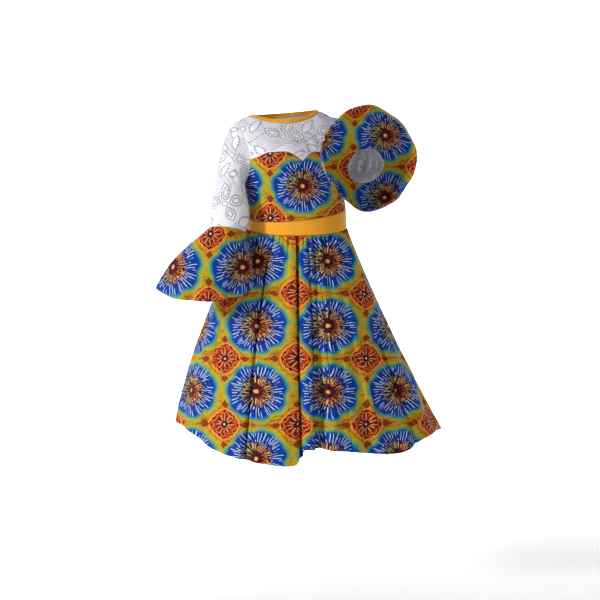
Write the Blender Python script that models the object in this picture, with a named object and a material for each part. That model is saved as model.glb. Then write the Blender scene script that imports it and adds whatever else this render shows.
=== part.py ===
"""A worn, hollow midi dress: lace yoke and sleeves, wax print bodice, skirt and bell flounces, yellow bands.

Metres, +Z up, the front faces -Y. The origin is the middle of the neck opening at shoulder height.
Angles round the body start at the front (-Y) and grow towards +X.
"""

import bmesh
import bpy
import numpy as np

# Cloth
PRINT_WALL = 0.0020
LACE_WALL = 0.0020
BAND_WALL = 0.0028
SEAM_GAP = 0.0004


def table(names, *rows):
    """Rows of numbers as a dictionary of named columns."""
    return dict(zip(names.split(), np.array(rows, float).T))


# Body sections, one row a level: how high, where the middle is, how wide and deep, and the turn
LEVELS = table(
    "step middle_x half_width front_depth back_depth turn",
    (0.0, 0.0375, 0.1460, 0.108, 0.098, 0.0),
    (0.5, 0.0320, 0.1440, 0.112, 0.102, 9.0),
    (1.0, 0.0200, 0.1530, 0.123, 0.108, 18.0),
)
CHEST_HEIGHT = -0.165

# How the body leaves the chest and arrives at the neck edge: upwards as a share of the rise between them,
# outwards in metres, and what is added at the sides
CHEST_LEAVE = dict(up=1.3, out=0.012, side_out=0.050)
NECK_ARRIVE = dict(up=0.75, side_up=-0.40, out=-0.06, side_out=-0.15)

# Waist and band edges: height, how much the front dips, how much the +X side rises
BAND_TOP = (-0.293, 0.021, 0.013)
BAND_FOOT = (-0.339, 0.017, 0.000)
BAND_FLARE = 0.002

# Neck edge of the yoke
NECK_HALF_WIDTH = 0.108
NECK_FRONT, NECK_BACK = 0.078, 0.060
NECK_DROP_FRONT, NECK_DROP_BACK, NECK_DROP_SIDE = 0.034, 0.012, 0.004
NECK_TILT = 0.075
NECK_TURN = 14.0
NECKBAND_WIDTH = 0.012
NECKBAND_LEAN = 0.10

# Sweetheart seam between yoke and bodice: angle from the centre front and height
SEAM_ANGLE = (0.0, 8.0, 16.0, 28.0, 50.0, 75.0, 90.0)
SEAM_HEIGHT = (-0.141, -0.128, -0.118, -0.112, -0.112, -0.127, -0.136)
BACK_SEAM_HEIGHT = -0.136

# Armhole, in steps up the body and degrees round it
BODICE_ROWS, YOKE_ROWS, BODY_COLUMNS = 8, 9, 20
ARMHOLE_LOW, ARMHOLE_HIGH = 3, 7
ARMHOLE_BITE = 29.0

# Sleeves: side of the body, end of the lace tube, the way the arm points there, its outer side, its radius,
# how far its long lines leave the armhole, with the change for the top line, the front line and downwards,
# and how far they arrive along the arm
SLEEVES = {
    "hanging": dict(side=-1, end=(-0.164, -0.098, -0.342), points=(-0.10, -0.28, -1.0), outer=(-1, 0, 0),
                    radius=0.053, leave=0.115, leave_slant=(0.050, -0.03, 0.02), arrive=0.17),
    "raised": dict(side=1, end=(0.232, -0.215, -0.154), points=(0.26, -0.85, -0.36), outer=(0, 0, 1),
                   radius=0.053, leave=0.13, leave_slant=(0.02, 0.09, 0.0), arrive=0.16),
}
LEAVE_DIP, LEAVE_LIFT = 0.15, 0.25
SLEEVE_STEPS = (0.0, 0.035, 0.10, 0.19, 0.30, 0.42, 0.56, 0.70, 0.85, 1.0)

# Flounces: middle of the hem, the two ways that span the hem, how far the lines bow outwards, and the reach
# of the hem round it, from the outer side of the arm through its front, with its waves
FLOUNCES = {
    "hanging": dict(middle=(-0.217, -0.165, -0.502), wide=(1.0, 0.08, 0.02), deep=(0.0, 0.97, 0.28), bow=0.022),
    "raised": dict(middle=(0.232, -0.345, -0.126), wide=(0.97, 0.23, 0.0), deep=(0.0, -0.20, 0.98), bow=0.042),
}
HEM_TURN = (0, 25, 50, 75, 100, 125, 150, 180, 210, 240, 270, 300, 330, 360)
HEM_REACH = {
    "hanging": (0.149, 0.127, 0.117, 0.100, 0.106, 0.104, 0.121, 0.132, 0.112, 0.102, 0.105, 0.102, 0.127, 0.149),
    "raised": (0.143, 0.137, 0.128, 0.132, 0.126, 0.121, 0.128, 0.150, 0.145, 0.131, 0.134, 0.121, 0.120, 0.143),
}
FLOUNCE_ROWS, FLOUNCE_COLUMNS = 8, 42
BOW_OUTER = 0.3

# Round shape that the hanging flounce stays outside of: its growth from the band down to its full drop
REST_GAP = 0.010
REST = dict(drop=0.60, shift=0.034, wide=0.250, wide_bow=0.30, deep=0.200, deep_bow=0.20, soft=0.04)

# Skirt by the angle of its hem: reach of the hem beyond the waist, fullness of the line, height of the hem
SKIRT_ROUND = table(
    "angle reach bow hem",
    (-180, 0.190, 0.20, -0.960),
    (-135, 0.205, 0.25, -0.945),
    (-90, 0.217, 0.42, -0.918),
    (-62, 0.205, 0.35, -0.924),
    (-42, 0.200, 0.25, -0.962),
    (-22, 0.200, 0.18, -0.982),
    (-4, 0.202, 0.12, -0.992),
    (5, 0.198, 0.10, -0.946),
    (25, 0.205, 0.08, -0.955),
    (50, 0.232, -0.05, -0.974),
    (75, 0.275, -0.14, -0.937),
    (90, 0.288, -0.16, -0.941),
    (135, 0.225, 0.12, -0.950),
    (180, 0.190, 0.20, -0.960),
)

# Tucks under the band that open into folds: angle at the band and at the hem, depth there and at the hem
FOLDS = table(
    "waist hem tuck depth",
    (-170, -168, 0.0040, 0.020),
    (-156, -152, 0.0040, 0.008),
    (-141, -137, 0.0045, 0.024),
    (-127, -125, 0.0035, 0.007),
    (-113, -112, 0.0045, 0.018),
    (-97, -98, 0.0030, 0.009),
    (-78, -74, 0.0035, 0.012),
    (-62, -53, 0.0030, 0.022),
    (-48, -40, 0.0050, 0.007),
    (-36, -32, 0.0045, 0.006),
    (-27, -24, 0.0060, 0.024),
    (-13, -14, 0.0035, 0.005),
    (-2, -1, 0.0060, 0.034),
    (19, 12, 0.0060, 0.030),
    (30, 24, 0.0045, 0.006),
    (41, 36, 0.0050, 0.014),
    (52, 48, 0.0045, 0.010),
    (66, 63, 0.0040, 0.016),
    (81, 80, 0.0030, 0.008),
    (98, 97, 0.0035, 0.014),
    (112, 110, 0.0045, 0.020),
    (127, 126, 0.0035, 0.007),
    (142, 139, 0.0045, 0.022),
    (156, 153, 0.0040, 0.008),
    (170, 168, 0.0040, 0.018),
)
TUCK_START, TUCK_FULL, TUCK_END = 0.35, 0.06, 0.45
FOLD_OPENING, FOLD_SHARPNESS = 1.15, 1.3
SKIRT_STEPS = (0.0, 0.03, 0.075, 0.13, 0.20, 0.29, 0.39, 0.50, 0.62, 0.74, 0.87, 1.0)
FOLD_STEPS = 4

PRINT_BLUE = (0.03, 0.10, 0.40)
LACE_WHITE = (0.86, 0.87, 0.90)
BAND_YELLOW = (0.90, 0.41, 0.03)


def smooth(x, xs, ys):
    """Cubic curve through given values, level where they turn back, so that it never overshoots them."""
    xs, ys = np.asarray(xs, float), np.asarray(ys, float)
    rise = np.diff(ys) / np.diff(xs)
    slope = np.concatenate([rise[:1], (rise[1:] + rise[:-1]) / 2, rise[-1:]])
    flat = np.concatenate([[False], rise[1:] * rise[:-1] <= 0, [False]])
    slope[flat] = 0
    at = np.clip(np.searchsorted(xs, x, side="right") - 1, 0, len(xs) - 2)
    width = xs[at + 1] - xs[at]
    s = np.clip((x - xs[at]) / width, 0, 1)
    return (
        (1 + 2 * s) * (1 - s) ** 2 * ys[at]
        + s * s * (3 - 2 * s) * ys[at + 1]
        + width * (s * (1 - s) ** 2 * slope[at] - s * s * (1 - s) * slope[at + 1])
    )


def hermite(start, leave, end, arrive, s):
    """Curve from start to end with the given tangents, s from 0 to 1."""
    s = s[..., None]
    return (
        (1 + 2 * s) * (1 - s) ** 2 * start
        + s * (1 - s) ** 2 * leave
        + s * s * (3 - 2 * s) * end
        - s * s * (1 - s) * arrive
    )


def unit(vectors):
    return vectors / np.linalg.norm(vectors, axis=-1, keepdims=True)


def wrap(degrees):
    return (degrees + 180.0) % 360.0 - 180.0


def stack(x, y, z):
    return np.stack(np.broadcast_arrays(x, y, z), axis=-1)


def edge_height(edge, angle):
    """Height of a band edge that dips at the front and rises towards +X."""
    height, dip, rise = edge
    return height - dip * np.cos(np.radians(angle)) + rise * np.sin(np.radians(angle))


def section(angle, step):
    """Body section at a level: a half ellipse in front, a half ellipse behind, turned about the vertical."""
    at = {name: smooth(step, LEVELS["step"], LEVELS[name]) for name in LEVELS if name != "step"}
    sine, cosine = np.sin(np.radians(angle)), np.cos(np.radians(angle))
    x, y = at["half_width"] * sine, -np.where(cosine > 0, at["front_depth"], at["back_depth"]) * cosine
    turn = np.radians(at["turn"])
    return at["middle_x"] + x * np.cos(turn) - y * np.sin(turn), x * np.sin(turn) + y * np.cos(turn), turn


def neck_edge(angle):
    """Neck edge of the yoke: low in front, highest at the shoulders, tilted up towards +X."""
    sine, cosine = np.sin(np.radians(angle)), np.cos(np.radians(angle))
    turn = np.radians(NECK_TURN)
    x, y = NECK_HALF_WIDTH * sine, -np.where(cosine > 0, NECK_FRONT, NECK_BACK) * cosine
    deep = np.where(cosine > 0, NECK_DROP_FRONT, NECK_DROP_BACK) - NECK_DROP_SIDE
    x, y = x * np.cos(turn) - y * np.sin(turn), x * np.sin(turn) + y * np.cos(turn)
    return stack(x, y, NECK_TILT * x - NECK_DROP_SIDE - deep * cosine**2)


def body(angle, step):
    """Point of the bodice and yoke: step 0 at the band, 1 at the chest, 2 at the neck edge."""
    angle, step = np.broadcast_arrays(np.asarray(angle, float), np.asarray(step, float))
    low = np.minimum(step, 1)
    x, y, _ = section(angle, low)
    top = edge_height(BAND_TOP, angle)
    below = stack(x, y, top + (CHEST_HEIGHT - top) * low)

    chest_x, chest_y, turn = section(angle, np.ones_like(angle))
    chest, neck = stack(chest_x, chest_y, CHEST_HEIGHT), neck_edge(angle)
    rise = (neck - chest)[..., 2]
    round_side = np.sin(np.radians(angle)) ** 2
    way = np.radians(angle) + turn
    out = stack(np.sin(way), -np.cos(way), 0.0)
    leave = out * (CHEST_LEAVE["out"] + CHEST_LEAVE["side_out"] * round_side)[..., None]
    leave[..., 2] += rise * CHEST_LEAVE["up"]
    arrive = out * (NECK_ARRIVE["out"] + NECK_ARRIVE["side_out"] * round_side)[..., None]
    arrive[..., 2] += rise * (NECK_ARRIVE["up"] + NECK_ARRIVE["side_up"] * round_side)
    above = hermite(chest, leave, neck, arrive, np.maximum(step - 1, 0))
    return np.where((step > 1)[..., None], above, below)


def step_at(angle, height):
    """The step at which the body reaches a height above the chest, by angle."""
    steps = np.linspace(1, 2, 41)
    heights = body(np.asarray(angle)[:, None], steps[None, :])[..., 2]
    return np.array([np.interp(h, row, steps) for h, row in zip(height, heights)])


def seam_step(angle):
    """Step of the seam between bodice and yoke: sweetheart in front, level behind."""
    away = np.abs(wrap(np.asarray(angle, float)))
    height = np.where(away <= 90, smooth(np.minimum(away, 90), SEAM_ANGLE, SEAM_HEIGHT), BACK_SEAM_HEIGHT)
    return step_at(angle, height)


def side_steps():
    """Steps up the side of the body at which the rows of bodice and yoke end."""
    seam = seam_step(np.array([90.0]))[0]
    bodice = seam * np.arange(BODICE_ROWS) / BODICE_ROWS
    yoke = seam + (2 - seam) * np.arange(YOKE_ROWS + 1) / YOKE_ROWS
    return np.concatenate([bodice, yoke])


STEPS = side_steps()
ARMHOLE_STEPS = STEPS[BODICE_ROWS - ARMHOLE_LOW:BODICE_ROWS + ARMHOLE_HIGH + 1]


def side_angle(step):
    """How far round the front reaches at a step: to the side seam, or to the edge of the armhole."""
    low, high = ARMHOLE_STEPS[0], ARMHOLE_STEPS[-1]
    across = np.clip((2 * step - low - high) / (high - low), -1, 1)
    return 90.0 - ARMHOLE_BITE * (1 - across**2) ** 0.55


def normals(points, closed):
    """Unit normals of a grid of points by central differences, to the right of the rows' way up."""
    along = np.gradient(points, axis=0)
    if closed:
        across = np.roll(points, -1, axis=1) - np.roll(points, 1, axis=1)
    else:
        across = np.gradient(points, axis=1)
    return unit(np.cross(across, along))


def trimmed(points, closed, rows=(True, True)):
    """The grid with its sewn edges drawn in by half a seam gap."""
    points = points.copy()
    for first, second, sewn in ((0, 1, rows[0]), (-1, -2, rows[1])):
        if sewn:
            points[first] += unit(points[second] - points[first]) * SEAM_GAP / 2
    if not closed:
        for first, second in ((0, 1), (-1, -2)):
            points[:, first] += unit(points[:, second] - points[:, first]) * SEAM_GAP / 2
    return points


def material(name, colour, roughness):
    made = bpy.data.materials.new(name)
    made.use_nodes = True
    shader = made.node_tree.nodes["Principled BSDF"]
    shader.inputs["Base Color"].default_value = (*colour, 1.0)
    shader.inputs["Roughness"].default_value = roughness
    shader.inputs["Metallic"].default_value = 0.0
    return made


def cloth(name, points, directions, wall, closed, look):
    """Solid wall through a grid of points: an outer and an inner skin along the directions, joined at the rims."""
    rows, columns = points.shape[:2]
    half = directions * wall / 2
    skins = np.concatenate([(points + half).reshape(-1, 3), (points - half).reshape(-1, 3)])
    index = np.arange(rows * columns).reshape(rows, columns)
    if closed:
        index = np.concatenate([index, index[:, :1]], axis=1)
    under = index + rows * columns
    quads = [
        stack4(index[:-1, :-1], index[:-1, 1:], index[1:, 1:], index[1:, :-1]),
        stack4(under[:-1, :-1], under[1:, :-1], under[1:, 1:], under[:-1, 1:]),
        stack4(index[0, :-1], under[0, :-1], under[0, 1:], index[0, 1:]),
        stack4(index[-1, :-1], index[-1, 1:], under[-1, 1:], under[-1, :-1]),
    ]
    if not closed:
        quads.append(stack4(index[:-1, 0], index[1:, 0], under[1:, 0], under[:-1, 0]))
        quads.append(stack4(index[:-1, -1], under[:-1, -1], under[1:, -1], index[1:, -1]))
    mesh = bpy.data.meshes.new(name)
    mesh.from_pydata(skins.tolist(), [], np.concatenate(quads).tolist())
    shape = bmesh.new()
    shape.from_mesh(mesh)
    bmesh.ops.recalc_face_normals(shape, faces=shape.faces)
    shape.to_mesh(mesh)
    shape.free()
    mesh.shade_smooth()
    mesh.set_sharp_from_angle(angle=np.radians(50))
    mesh.materials.append(look)
    made = bpy.data.objects.new(name, mesh)
    bpy.context.collection.objects.link(made)
    return made


def stack4(a, b, c, d):
    return np.stack([a, b, c, d], axis=-1).reshape(-1, 4)


def armhole_ring(side):
    """Armhole edge of one side: up the front from the underarm to the shoulder, and down the back."""
    front = side_angle(ARMHOLE_STEPS)
    angle = np.concatenate([side * front, side * (180 - front[1:-1])[::-1]])
    return angle, np.concatenate([ARMHOLE_STEPS, ARMHOLE_STEPS[1:-1][::-1]])


def body_normal(angle, step):
    """Outward direction of the body surface, from points a little to each side."""
    across = body(angle + 0.5, step) - body(angle - 0.5, step)
    along = body(angle, step + 0.01) - body(angle, step - 0.01)
    return unit(np.cross(across, along))


def arm_frame(spec):
    """The way the arm points at the end of a sleeve, its outer side and its front, square to each other."""
    arm = unit(np.array(spec["points"], float))
    outer = np.array(spec["outer"], float)
    outer = unit(outer - arm * (outer @ arm))
    return arm, outer, spec["side"] * np.cross(arm, outer)


def outwards(points):
    """Outward wall directions of a tube of points."""
    directions = normals(points, closed=True)
    inward = points.mean(axis=1, keepdims=True) - points
    return directions * np.where((directions * inward).sum(-1, keepdims=True) > 0, -1, 1)


def sleeve_grid(spec):
    """Long lines from the armhole to the end ring: each leaves the body outwards and arrives along the arm."""
    angle, step = armhole_ring(spec["side"])
    ring = body(angle, step)
    arm, outer, front = arm_frame(spec)
    spread = ring - ring.mean(axis=0)
    turn = np.arctan2(-spread[:, 1] / np.ptp(ring[:, 1]), spread[:, 2] / np.ptp(ring[:, 2]))
    top, forward = np.cos(turn)[:, None], np.sin(turn)[:, None]
    radial = top * outer + forward * front
    end = np.array(spec["end"]) + spec["radius"] * radial
    top_slant, front_slant, down = spec["leave_slant"]
    away = unit(stack(spec["side"], 0.0, LEAVE_LIFT * top[:, 0] - LEAVE_DIP))
    leave = away * (spec["leave"] + top_slant * top - front_slant * forward) - np.array([0.0, 0.0, down])
    lines = hermite(ring, leave, end, arm * spec["arrive"], np.array(SLEEVE_STEPS)[:, None])
    directions = outwards(lines)
    directions[0] = unit(directions[0] + body_normal(angle, step))
    directions[-1] = radial
    return lines, directions


def flounce_grid(name):
    """Bell from the end ring of a sleeve to its hem: the lines bow outwards, most on the outer side."""
    spec, sleeve = FLOUNCES[name], SLEEVES[name]
    _, outer, front = arm_frame(sleeve)
    turn = np.linspace(0, 360, FLOUNCE_COLUMNS, endpoint=False)
    top, forward = np.cos(np.radians(turn))[:, None], np.sin(np.radians(turn))[:, None]
    radial = top * outer + forward * front
    throat = np.array(sleeve["end"]) + sleeve["radius"] * radial
    span = np.stack([unit(np.array(spec["wide"])), unit(np.array(spec["deep"]))])
    spread = unit(radial @ span.T) @ span
    hem = np.array(spec["middle"]) + spread * smooth(turn, HEM_TURN, HEM_REACH[name])[:, None]
    t = np.linspace(0, 1, FLOUNCE_ROWS + 1)[:, None, None]
    points = throat * (1 - t) + hem * t + spread * spec["bow"] * (1 - BOW_OUTER + BOW_OUTER * top) * 4 * t * (1 - t)
    if name == "hanging":
        points = clear_of_skirt(points)
    directions = outwards(points)
    directions[0] = radial
    return points, directions


def skirt_row(angle, column):
    return smooth(wrap(angle), SKIRT_ROUND["angle"], SKIRT_ROUND[column])


def fold_offset(around, t):
    """How far the skirt is drawn in: a soft trough at each fold, with a crest midway to the next one."""
    at, tuck, depth = (
        np.concatenate([FOLDS[name][-1:], FOLDS[name], FOLDS[name][:1]]) for name in ("waist", "tuck", "depth")
    )
    at[0], at[-1] = at[0] - 360, at[-1] + 360
    gaps = np.diff(at)
    near = np.searchsorted((at[1:] + at[:-1]) / 2, around)
    away = around - at[near]
    gap = np.where(away < 0, gaps[np.maximum(near - 1, 0)], gaps[np.minimum(near, len(gaps) - 1)])
    trough = (0.5 + 0.5 * np.cos(np.pi * np.clip(2 * np.abs(away) / gap, 0, 1))) ** FOLD_SHARPNESS
    growing = TUCK_START + (1 - TUCK_START) * np.minimum(t / TUCK_FULL, 1)
    tucked = tuck[near] * growing * np.clip(1 - t / TUCK_END, 0, 1)
    return trough * (tucked + depth[near] * np.maximum(t, 0) ** FOLD_OPENING)


def skirt(around, t):
    """Skirt point: around is the angle at the band, t runs from the band to the hem."""
    around, t = np.broadcast_arrays(np.asarray(around, float), np.asarray(t, float))
    drift = np.interp(around, FOLDS["waist"], FOLDS["hem"] - FOLDS["waist"], period=360)
    angle = around + drift * t
    x, y, _ = section(angle, np.zeros_like(angle))
    sine, cosine = np.sin(np.radians(angle)), np.cos(np.radians(angle))
    reach, bow = skirt_row(angle, "reach"), skirt_row(angle, "bow")
    out = BAND_FLARE + reach * (t + bow * t * (1 - t)) - fold_offset(wrap(around), t)
    foot = edge_height(BAND_FOOT, angle)
    return stack(x + out * sine, y - out * cosine, foot + (skirt_row(angle, "hem") - foot) * t)


def skirt_columns():
    """Angles at the band of the skirt's long lines: troughs, crests and the slopes between them."""
    at = np.append(FOLDS["waist"], FOLDS["waist"][0] + 360)
    steps = np.arange(FOLD_STEPS) / FOLD_STEPS
    return np.sort(wrap((at[:-1, None] + np.diff(at)[:, None] * steps).ravel()))


def clear_of_skirt(points):
    """Points near the skirt moved outwards until they lie just clear of it, along the line from its middle."""
    foot = edge_height(BAND_FOOT, -60.0)
    drop = np.clip((foot - points[..., 2]) / REST["drop"], 0, 1)
    middle_x = LEVELS["middle_x"][0] + REST["shift"] * drop
    wide = REST["wide"] * drop * (1 + REST["wide_bow"] * (1 - drop))
    deep = REST["deep"] * drop * (1 + REST["deep_bow"] * (1 - drop))
    x, y = points[..., 0] - middle_x, points[..., 1]
    half_width, half_depth = LEVELS["half_width"][0] + REST_GAP, LEVELS["front_depth"][0] + REST_GAP
    far = np.hypot(x / (half_width + wide), y / (half_depth + deep))
    wanted = 1 + REST["soft"] * np.logaddexp(0, (far - 1) / REST["soft"])
    ratio = np.where(points[..., 2] < BAND_TOP[0], wanted / far, 1.0)
    return stack(middle_x + x * ratio, y * ratio, points[..., 2])


def make_body(looks, mitres):
    """Yoke and bodice, front and back, cut along the sweetheart seam, side and shoulder seams."""
    panels = {"front": (0, -1, 1), "back_right": (-180, 0, 1), "back_left": (180, -1, 0)}
    for place, (centre, start, end) in panels.items():
        share = np.linspace(start, end, (end - start) * BODY_COLUMNS // 2 + 1)
        angle = centre + 90.0 * share
        seam = seam_step(angle)
        for kind, rows, low, high in (("bodice", BODICE_ROWS, 0, seam), ("yoke", YOKE_ROWS, seam, 2)):
            step = low + (high - low) * np.linspace(0, 1, rows + 1)[:, None]
            points = body(centre + share * side_angle(step), step)
            directions = normals(points, closed=False)
            for edge in (0, -1):
                if share[edge] == 0:
                    continue
                mitre = mitres[int(np.sign(angle[edge]))][place.split("_")[0]]
                if kind == "bodice":
                    directions[-ARMHOLE_LOW - 1:, edge] = mitre[:ARMHOLE_LOW + 1]
                else:
                    directions[:ARMHOLE_HIGH + 1, edge] = mitre[ARMHOLE_LOW:]
            wall = PRINT_WALL if kind == "bodice" else LACE_WALL
            cloth(f"{kind}_{place}", trimmed(points, False), directions, wall, False, looks[kind])


def make_bands(looks):
    """Waistband and neckband, each one strip all round."""
    angle = np.linspace(-180, 180, 2 * BODY_COLUMNS, endpoint=False)[None, :]
    t = np.linspace(0, 1, 3)[:, None]
    x, y, _ = section(angle, np.zeros_like(angle))
    out = BAND_FLARE * (1 - t)
    foot, top = edge_height(BAND_FOOT, angle), edge_height(BAND_TOP, angle)
    sine, cosine = np.sin(np.radians(angle)), np.cos(np.radians(angle))
    points = stack(x + out * sine, y - out * cosine, foot + (top - foot) * t)
    cloth("waistband", trimmed(points, True), normals(points, True), BAND_WALL, True, looks["waistband"])

    edge = body(angle, 2.0)[0]
    inward = unit(edge - body(angle, 1.97)[0])
    t = np.linspace(0, 1, 3)[:, None, None]
    lean = stack(0.0, 0.0, NECKBAND_LEAN)
    points = edge[None] + (inward[None] + lean * t) * NECKBAND_WIDTH * t
    cloth("neckband", trimmed(points, True, (True, False)), normals(points, True), BAND_WALL, True,
          looks["neckband"])


def make_sleeves(looks):
    """Lace sleeves and their flounces. Returns the wall directions shared with the armhole edges."""
    mitres = {}
    for name, spec in SLEEVES.items():
        points, directions = sleeve_grid(spec)
        edge, count = directions[0], len(ARMHOLE_STEPS)
        back = np.concatenate([edge[:1], edge[count:][::-1], edge[count - 1:count]])
        mitres[spec["side"]] = {"front": edge[:count], "back": back}
        cloth(f"sleeve_{name}", trimmed(points, True), directions, LACE_WALL, True, looks["sleeve"])
        points, directions = flounce_grid(name)
        cloth(f"flounce_{name}", trimmed(points, True, (True, False)), directions, PRINT_WALL, True,
              looks["flounce"])
    return mitres


def make_skirt(looks):
    """Skirt front and two back halves, cut from one ring at the side seams and the centre back."""
    columns = skirt_columns()
    t = np.array(SKIRT_STEPS)[:, None]
    cuts = {"front": (-90, 90), "back_left": (90, 180), "back_right": (-180, -90)}
    for place, (start, end) in cuts.items():
        inner = columns[(columns > start + 0.8) & (columns < end - 0.8)]
        angles = np.concatenate([[start], inner, [end]])[None, :]
        points = skirt(angles, t)
        nudge = 0.05
        across = skirt(angles + nudge, t) - skirt(angles - nudge, t)
        along = skirt(angles, t - 0.001) - skirt(angles, t + 0.001)
        directions = unit(np.cross(across, along))
        directions[0] = unit(directions[0] * np.array([1, 1, 0]))
        cloth(f"skirt_{place}", trimmed(points, False, (True, False)), directions, PRINT_WALL, False,
              looks["skirt"])


def main():
    for old in list(bpy.data.objects):
        bpy.data.objects.remove(old)
    looks = {
        "yoke": material("lace_yoke", LACE_WHITE, 0.85),
        "sleeve": material("lace_sleeve", LACE_WHITE, 0.85),
        "bodice": material("print_bodice", PRINT_BLUE, 0.7),
        "skirt": material("print_skirt", PRINT_BLUE, 0.7),
        "flounce": material("print_flounce", PRINT_BLUE, 0.7),
        "waistband": material("yellow_waistband", BAND_YELLOW, 0.6),
        "neckband": material("yellow_neckband", BAND_YELLOW, 0.6),
    }
    mitres = make_sleeves(looks)
    make_body(looks, mitres)
    make_bands(looks)
    make_skirt(looks)


main()
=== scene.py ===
import bpy
import numpy as np
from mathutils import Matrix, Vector


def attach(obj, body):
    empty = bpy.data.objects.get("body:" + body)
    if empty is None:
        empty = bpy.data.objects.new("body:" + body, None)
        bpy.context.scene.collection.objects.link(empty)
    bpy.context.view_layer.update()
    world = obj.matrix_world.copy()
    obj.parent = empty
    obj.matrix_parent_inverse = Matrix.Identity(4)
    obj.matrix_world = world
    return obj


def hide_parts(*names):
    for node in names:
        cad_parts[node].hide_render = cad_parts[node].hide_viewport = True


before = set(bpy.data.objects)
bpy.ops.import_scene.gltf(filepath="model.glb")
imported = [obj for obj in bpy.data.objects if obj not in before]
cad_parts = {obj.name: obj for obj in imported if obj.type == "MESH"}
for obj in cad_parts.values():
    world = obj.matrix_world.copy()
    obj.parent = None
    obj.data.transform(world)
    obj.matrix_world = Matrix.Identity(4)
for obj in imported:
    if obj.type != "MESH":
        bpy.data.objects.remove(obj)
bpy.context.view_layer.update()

# The dress is worn: angles round the body start at the front, which faces -Y, and grow towards +X.
# Every piece of cloth is a thin closed shell on a grid of rows and columns.
# Its UV map is the flat cloth in metres.

body = {
    "levelStep": (0.0, 0.5, 1.0),                 # band, ribs, chest
    "middleX": (0.0375, 0.0320, 0.0200),
    "halfWidth": (0.1460, 0.1440, 0.1530),
    "frontDepth": (0.108, 0.112, 0.123),
    "backDepth": (0.098, 0.102, 0.108),
    "turn": (0.0, 9.0, 18.0),
    "chestHeight": -0.165,
    "bandTop": (-0.293, 0.021, 0.013),            # height, dip in front, rise towards +X
    "bandFoot": (-0.339, 0.017, 0.000),
    "bandFlare": 0.002, "innerX": 0.03,
    "neckHalfWidth": 0.108, "neckFront": 0.078, "neckBack": 0.060,
    "dropFront": 0.034, "dropBack": 0.012, "dropSide": 0.004,
    "neckTilt": 0.075, "neckTurn": 14.0,
    "seamAngle": (0.0, 8.0, 16.0, 28.0, 50.0, 75.0, 90.0),
    "seamHeight": (-0.141, -0.128, -0.118, -0.112, -0.112, -0.127, -0.136),
    "backSeam": -0.136,
    "armholeLow": 3 / 8, "armholeHigh": 7 / 9, "armholeBite": 29.0,
}

cloth = {
    "print": 0.0009, "lace": 0.0010, "band": 0.0016,   # walls
    "neckband": 1.4,                                   # a folded binding is this many times a band's wall
    "seamRoll": 0.0009, "seamReach": 0.0022,           # how deep and how far a sewn edge rolls in
    "closeRows": (0.0007, 0.0015, 0.0026, 0.0045),     # rows beside an edge, in metres from it
    "calm": 0.012,                                     # creases fade out this close to a seam
    "hem": 0.014, "hemStep": 0.0009,                   # turned hem and the thickness it adds inside
    "hemSlope": 0.0012,                                # length over which that thickness ends
    "printFall": 0.62,                                 # least share of a flounce's length that it runs down
    "printDrift": 0.66,                                # least share of a row that the print runs along
}


def smooth(x, xs, ys):
    # cubic curve through given values, level where they turn back
    xs, ys = np.asarray(xs, float), np.asarray(ys, float)
    rise = np.diff(ys) / np.diff(xs)
    slope = np.concatenate([rise[:1], (rise[1:] + rise[:-1]) / 2, rise[-1:]])
    slope[np.concatenate([[False], rise[1:] * rise[:-1] <= 0, [False]])] = 0
    at = np.clip(np.searchsorted(xs, x, side="right") - 1, 0, len(xs) - 2)
    width = xs[at + 1] - xs[at]
    s = np.clip((x - xs[at]) / width, 0, 1)
    return ((1 + 2 * s) * (1 - s) ** 2 * ys[at] + s * s * (3 - 2 * s) * ys[at + 1]
            + width * (s * (1 - s) ** 2 * slope[at] - s * s * (1 - s) * slope[at + 1]))


def hermite(start, leave, end, arrive, s):
    # curve from start to end with given tangents, s from 0 to 1
    s = s[..., None]
    return ((1 + 2 * s) * (1 - s) ** 2 * start + s * (1 - s) ** 2 * leave
            + s * s * (3 - 2 * s) * end - s * s * (1 - s) * arrive)


def unit(vectors):
    # each vector divided by its own length
    return vectors / np.linalg.norm(vectors, axis=-1, keepdims=True)


def wrap(degrees):
    # the same angle between -180 and 180
    return (degrees + 180.0) % 360.0 - 180.0


def stack(x, y, z):
    # three arrays of coordinates as one array of points
    return np.stack(np.broadcast_arrays(x, y, z), axis=-1)


def sinCos(degrees):
    # sine and cosine of an angle in degrees
    return np.sin(np.radians(degrees)), np.cos(np.radians(degrees))


def edgeHeight(edge, angle):
    # a band edge dips as the cosine of the angle and rises as its sine
    height, dip, rise = edge
    sine, cosine = sinCos(angle)
    return height - dip * cosine + rise * sine


def section(angle, step):
    # half ellipse in front, half ellipse behind, turned about the vertical
    middleX, halfWidth, front, back, turn = (
        smooth(step, body["levelStep"], body[name])
        for name in ("middleX", "halfWidth", "frontDepth", "backDepth", "turn"))
    sine, cosine = sinCos(angle)
    x, y = halfWidth * sine, -np.where(cosine > 0, front, back) * cosine
    turn = np.radians(turn)
    return middleX + x * np.cos(turn) - y * np.sin(turn), x * np.sin(turn) + y * np.cos(turn), turn


def neckEdge(angle):
    # two half ellipses, low in front and behind, highest at the shoulders, tilted up towards +X
    sine, cosine = sinCos(angle)
    turn = np.radians(body["neckTurn"])
    x = body["neckHalfWidth"] * sine
    y = -np.where(cosine > 0, body["neckFront"], body["neckBack"]) * cosine
    deep = np.where(cosine > 0, body["dropFront"], body["dropBack"]) - body["dropSide"]
    x, y = x * np.cos(turn) - y * np.sin(turn), x * np.sin(turn) + y * np.cos(turn)
    return stack(x, y, body["neckTilt"] * x - body["dropSide"] - deep * cosine**2)


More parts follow.
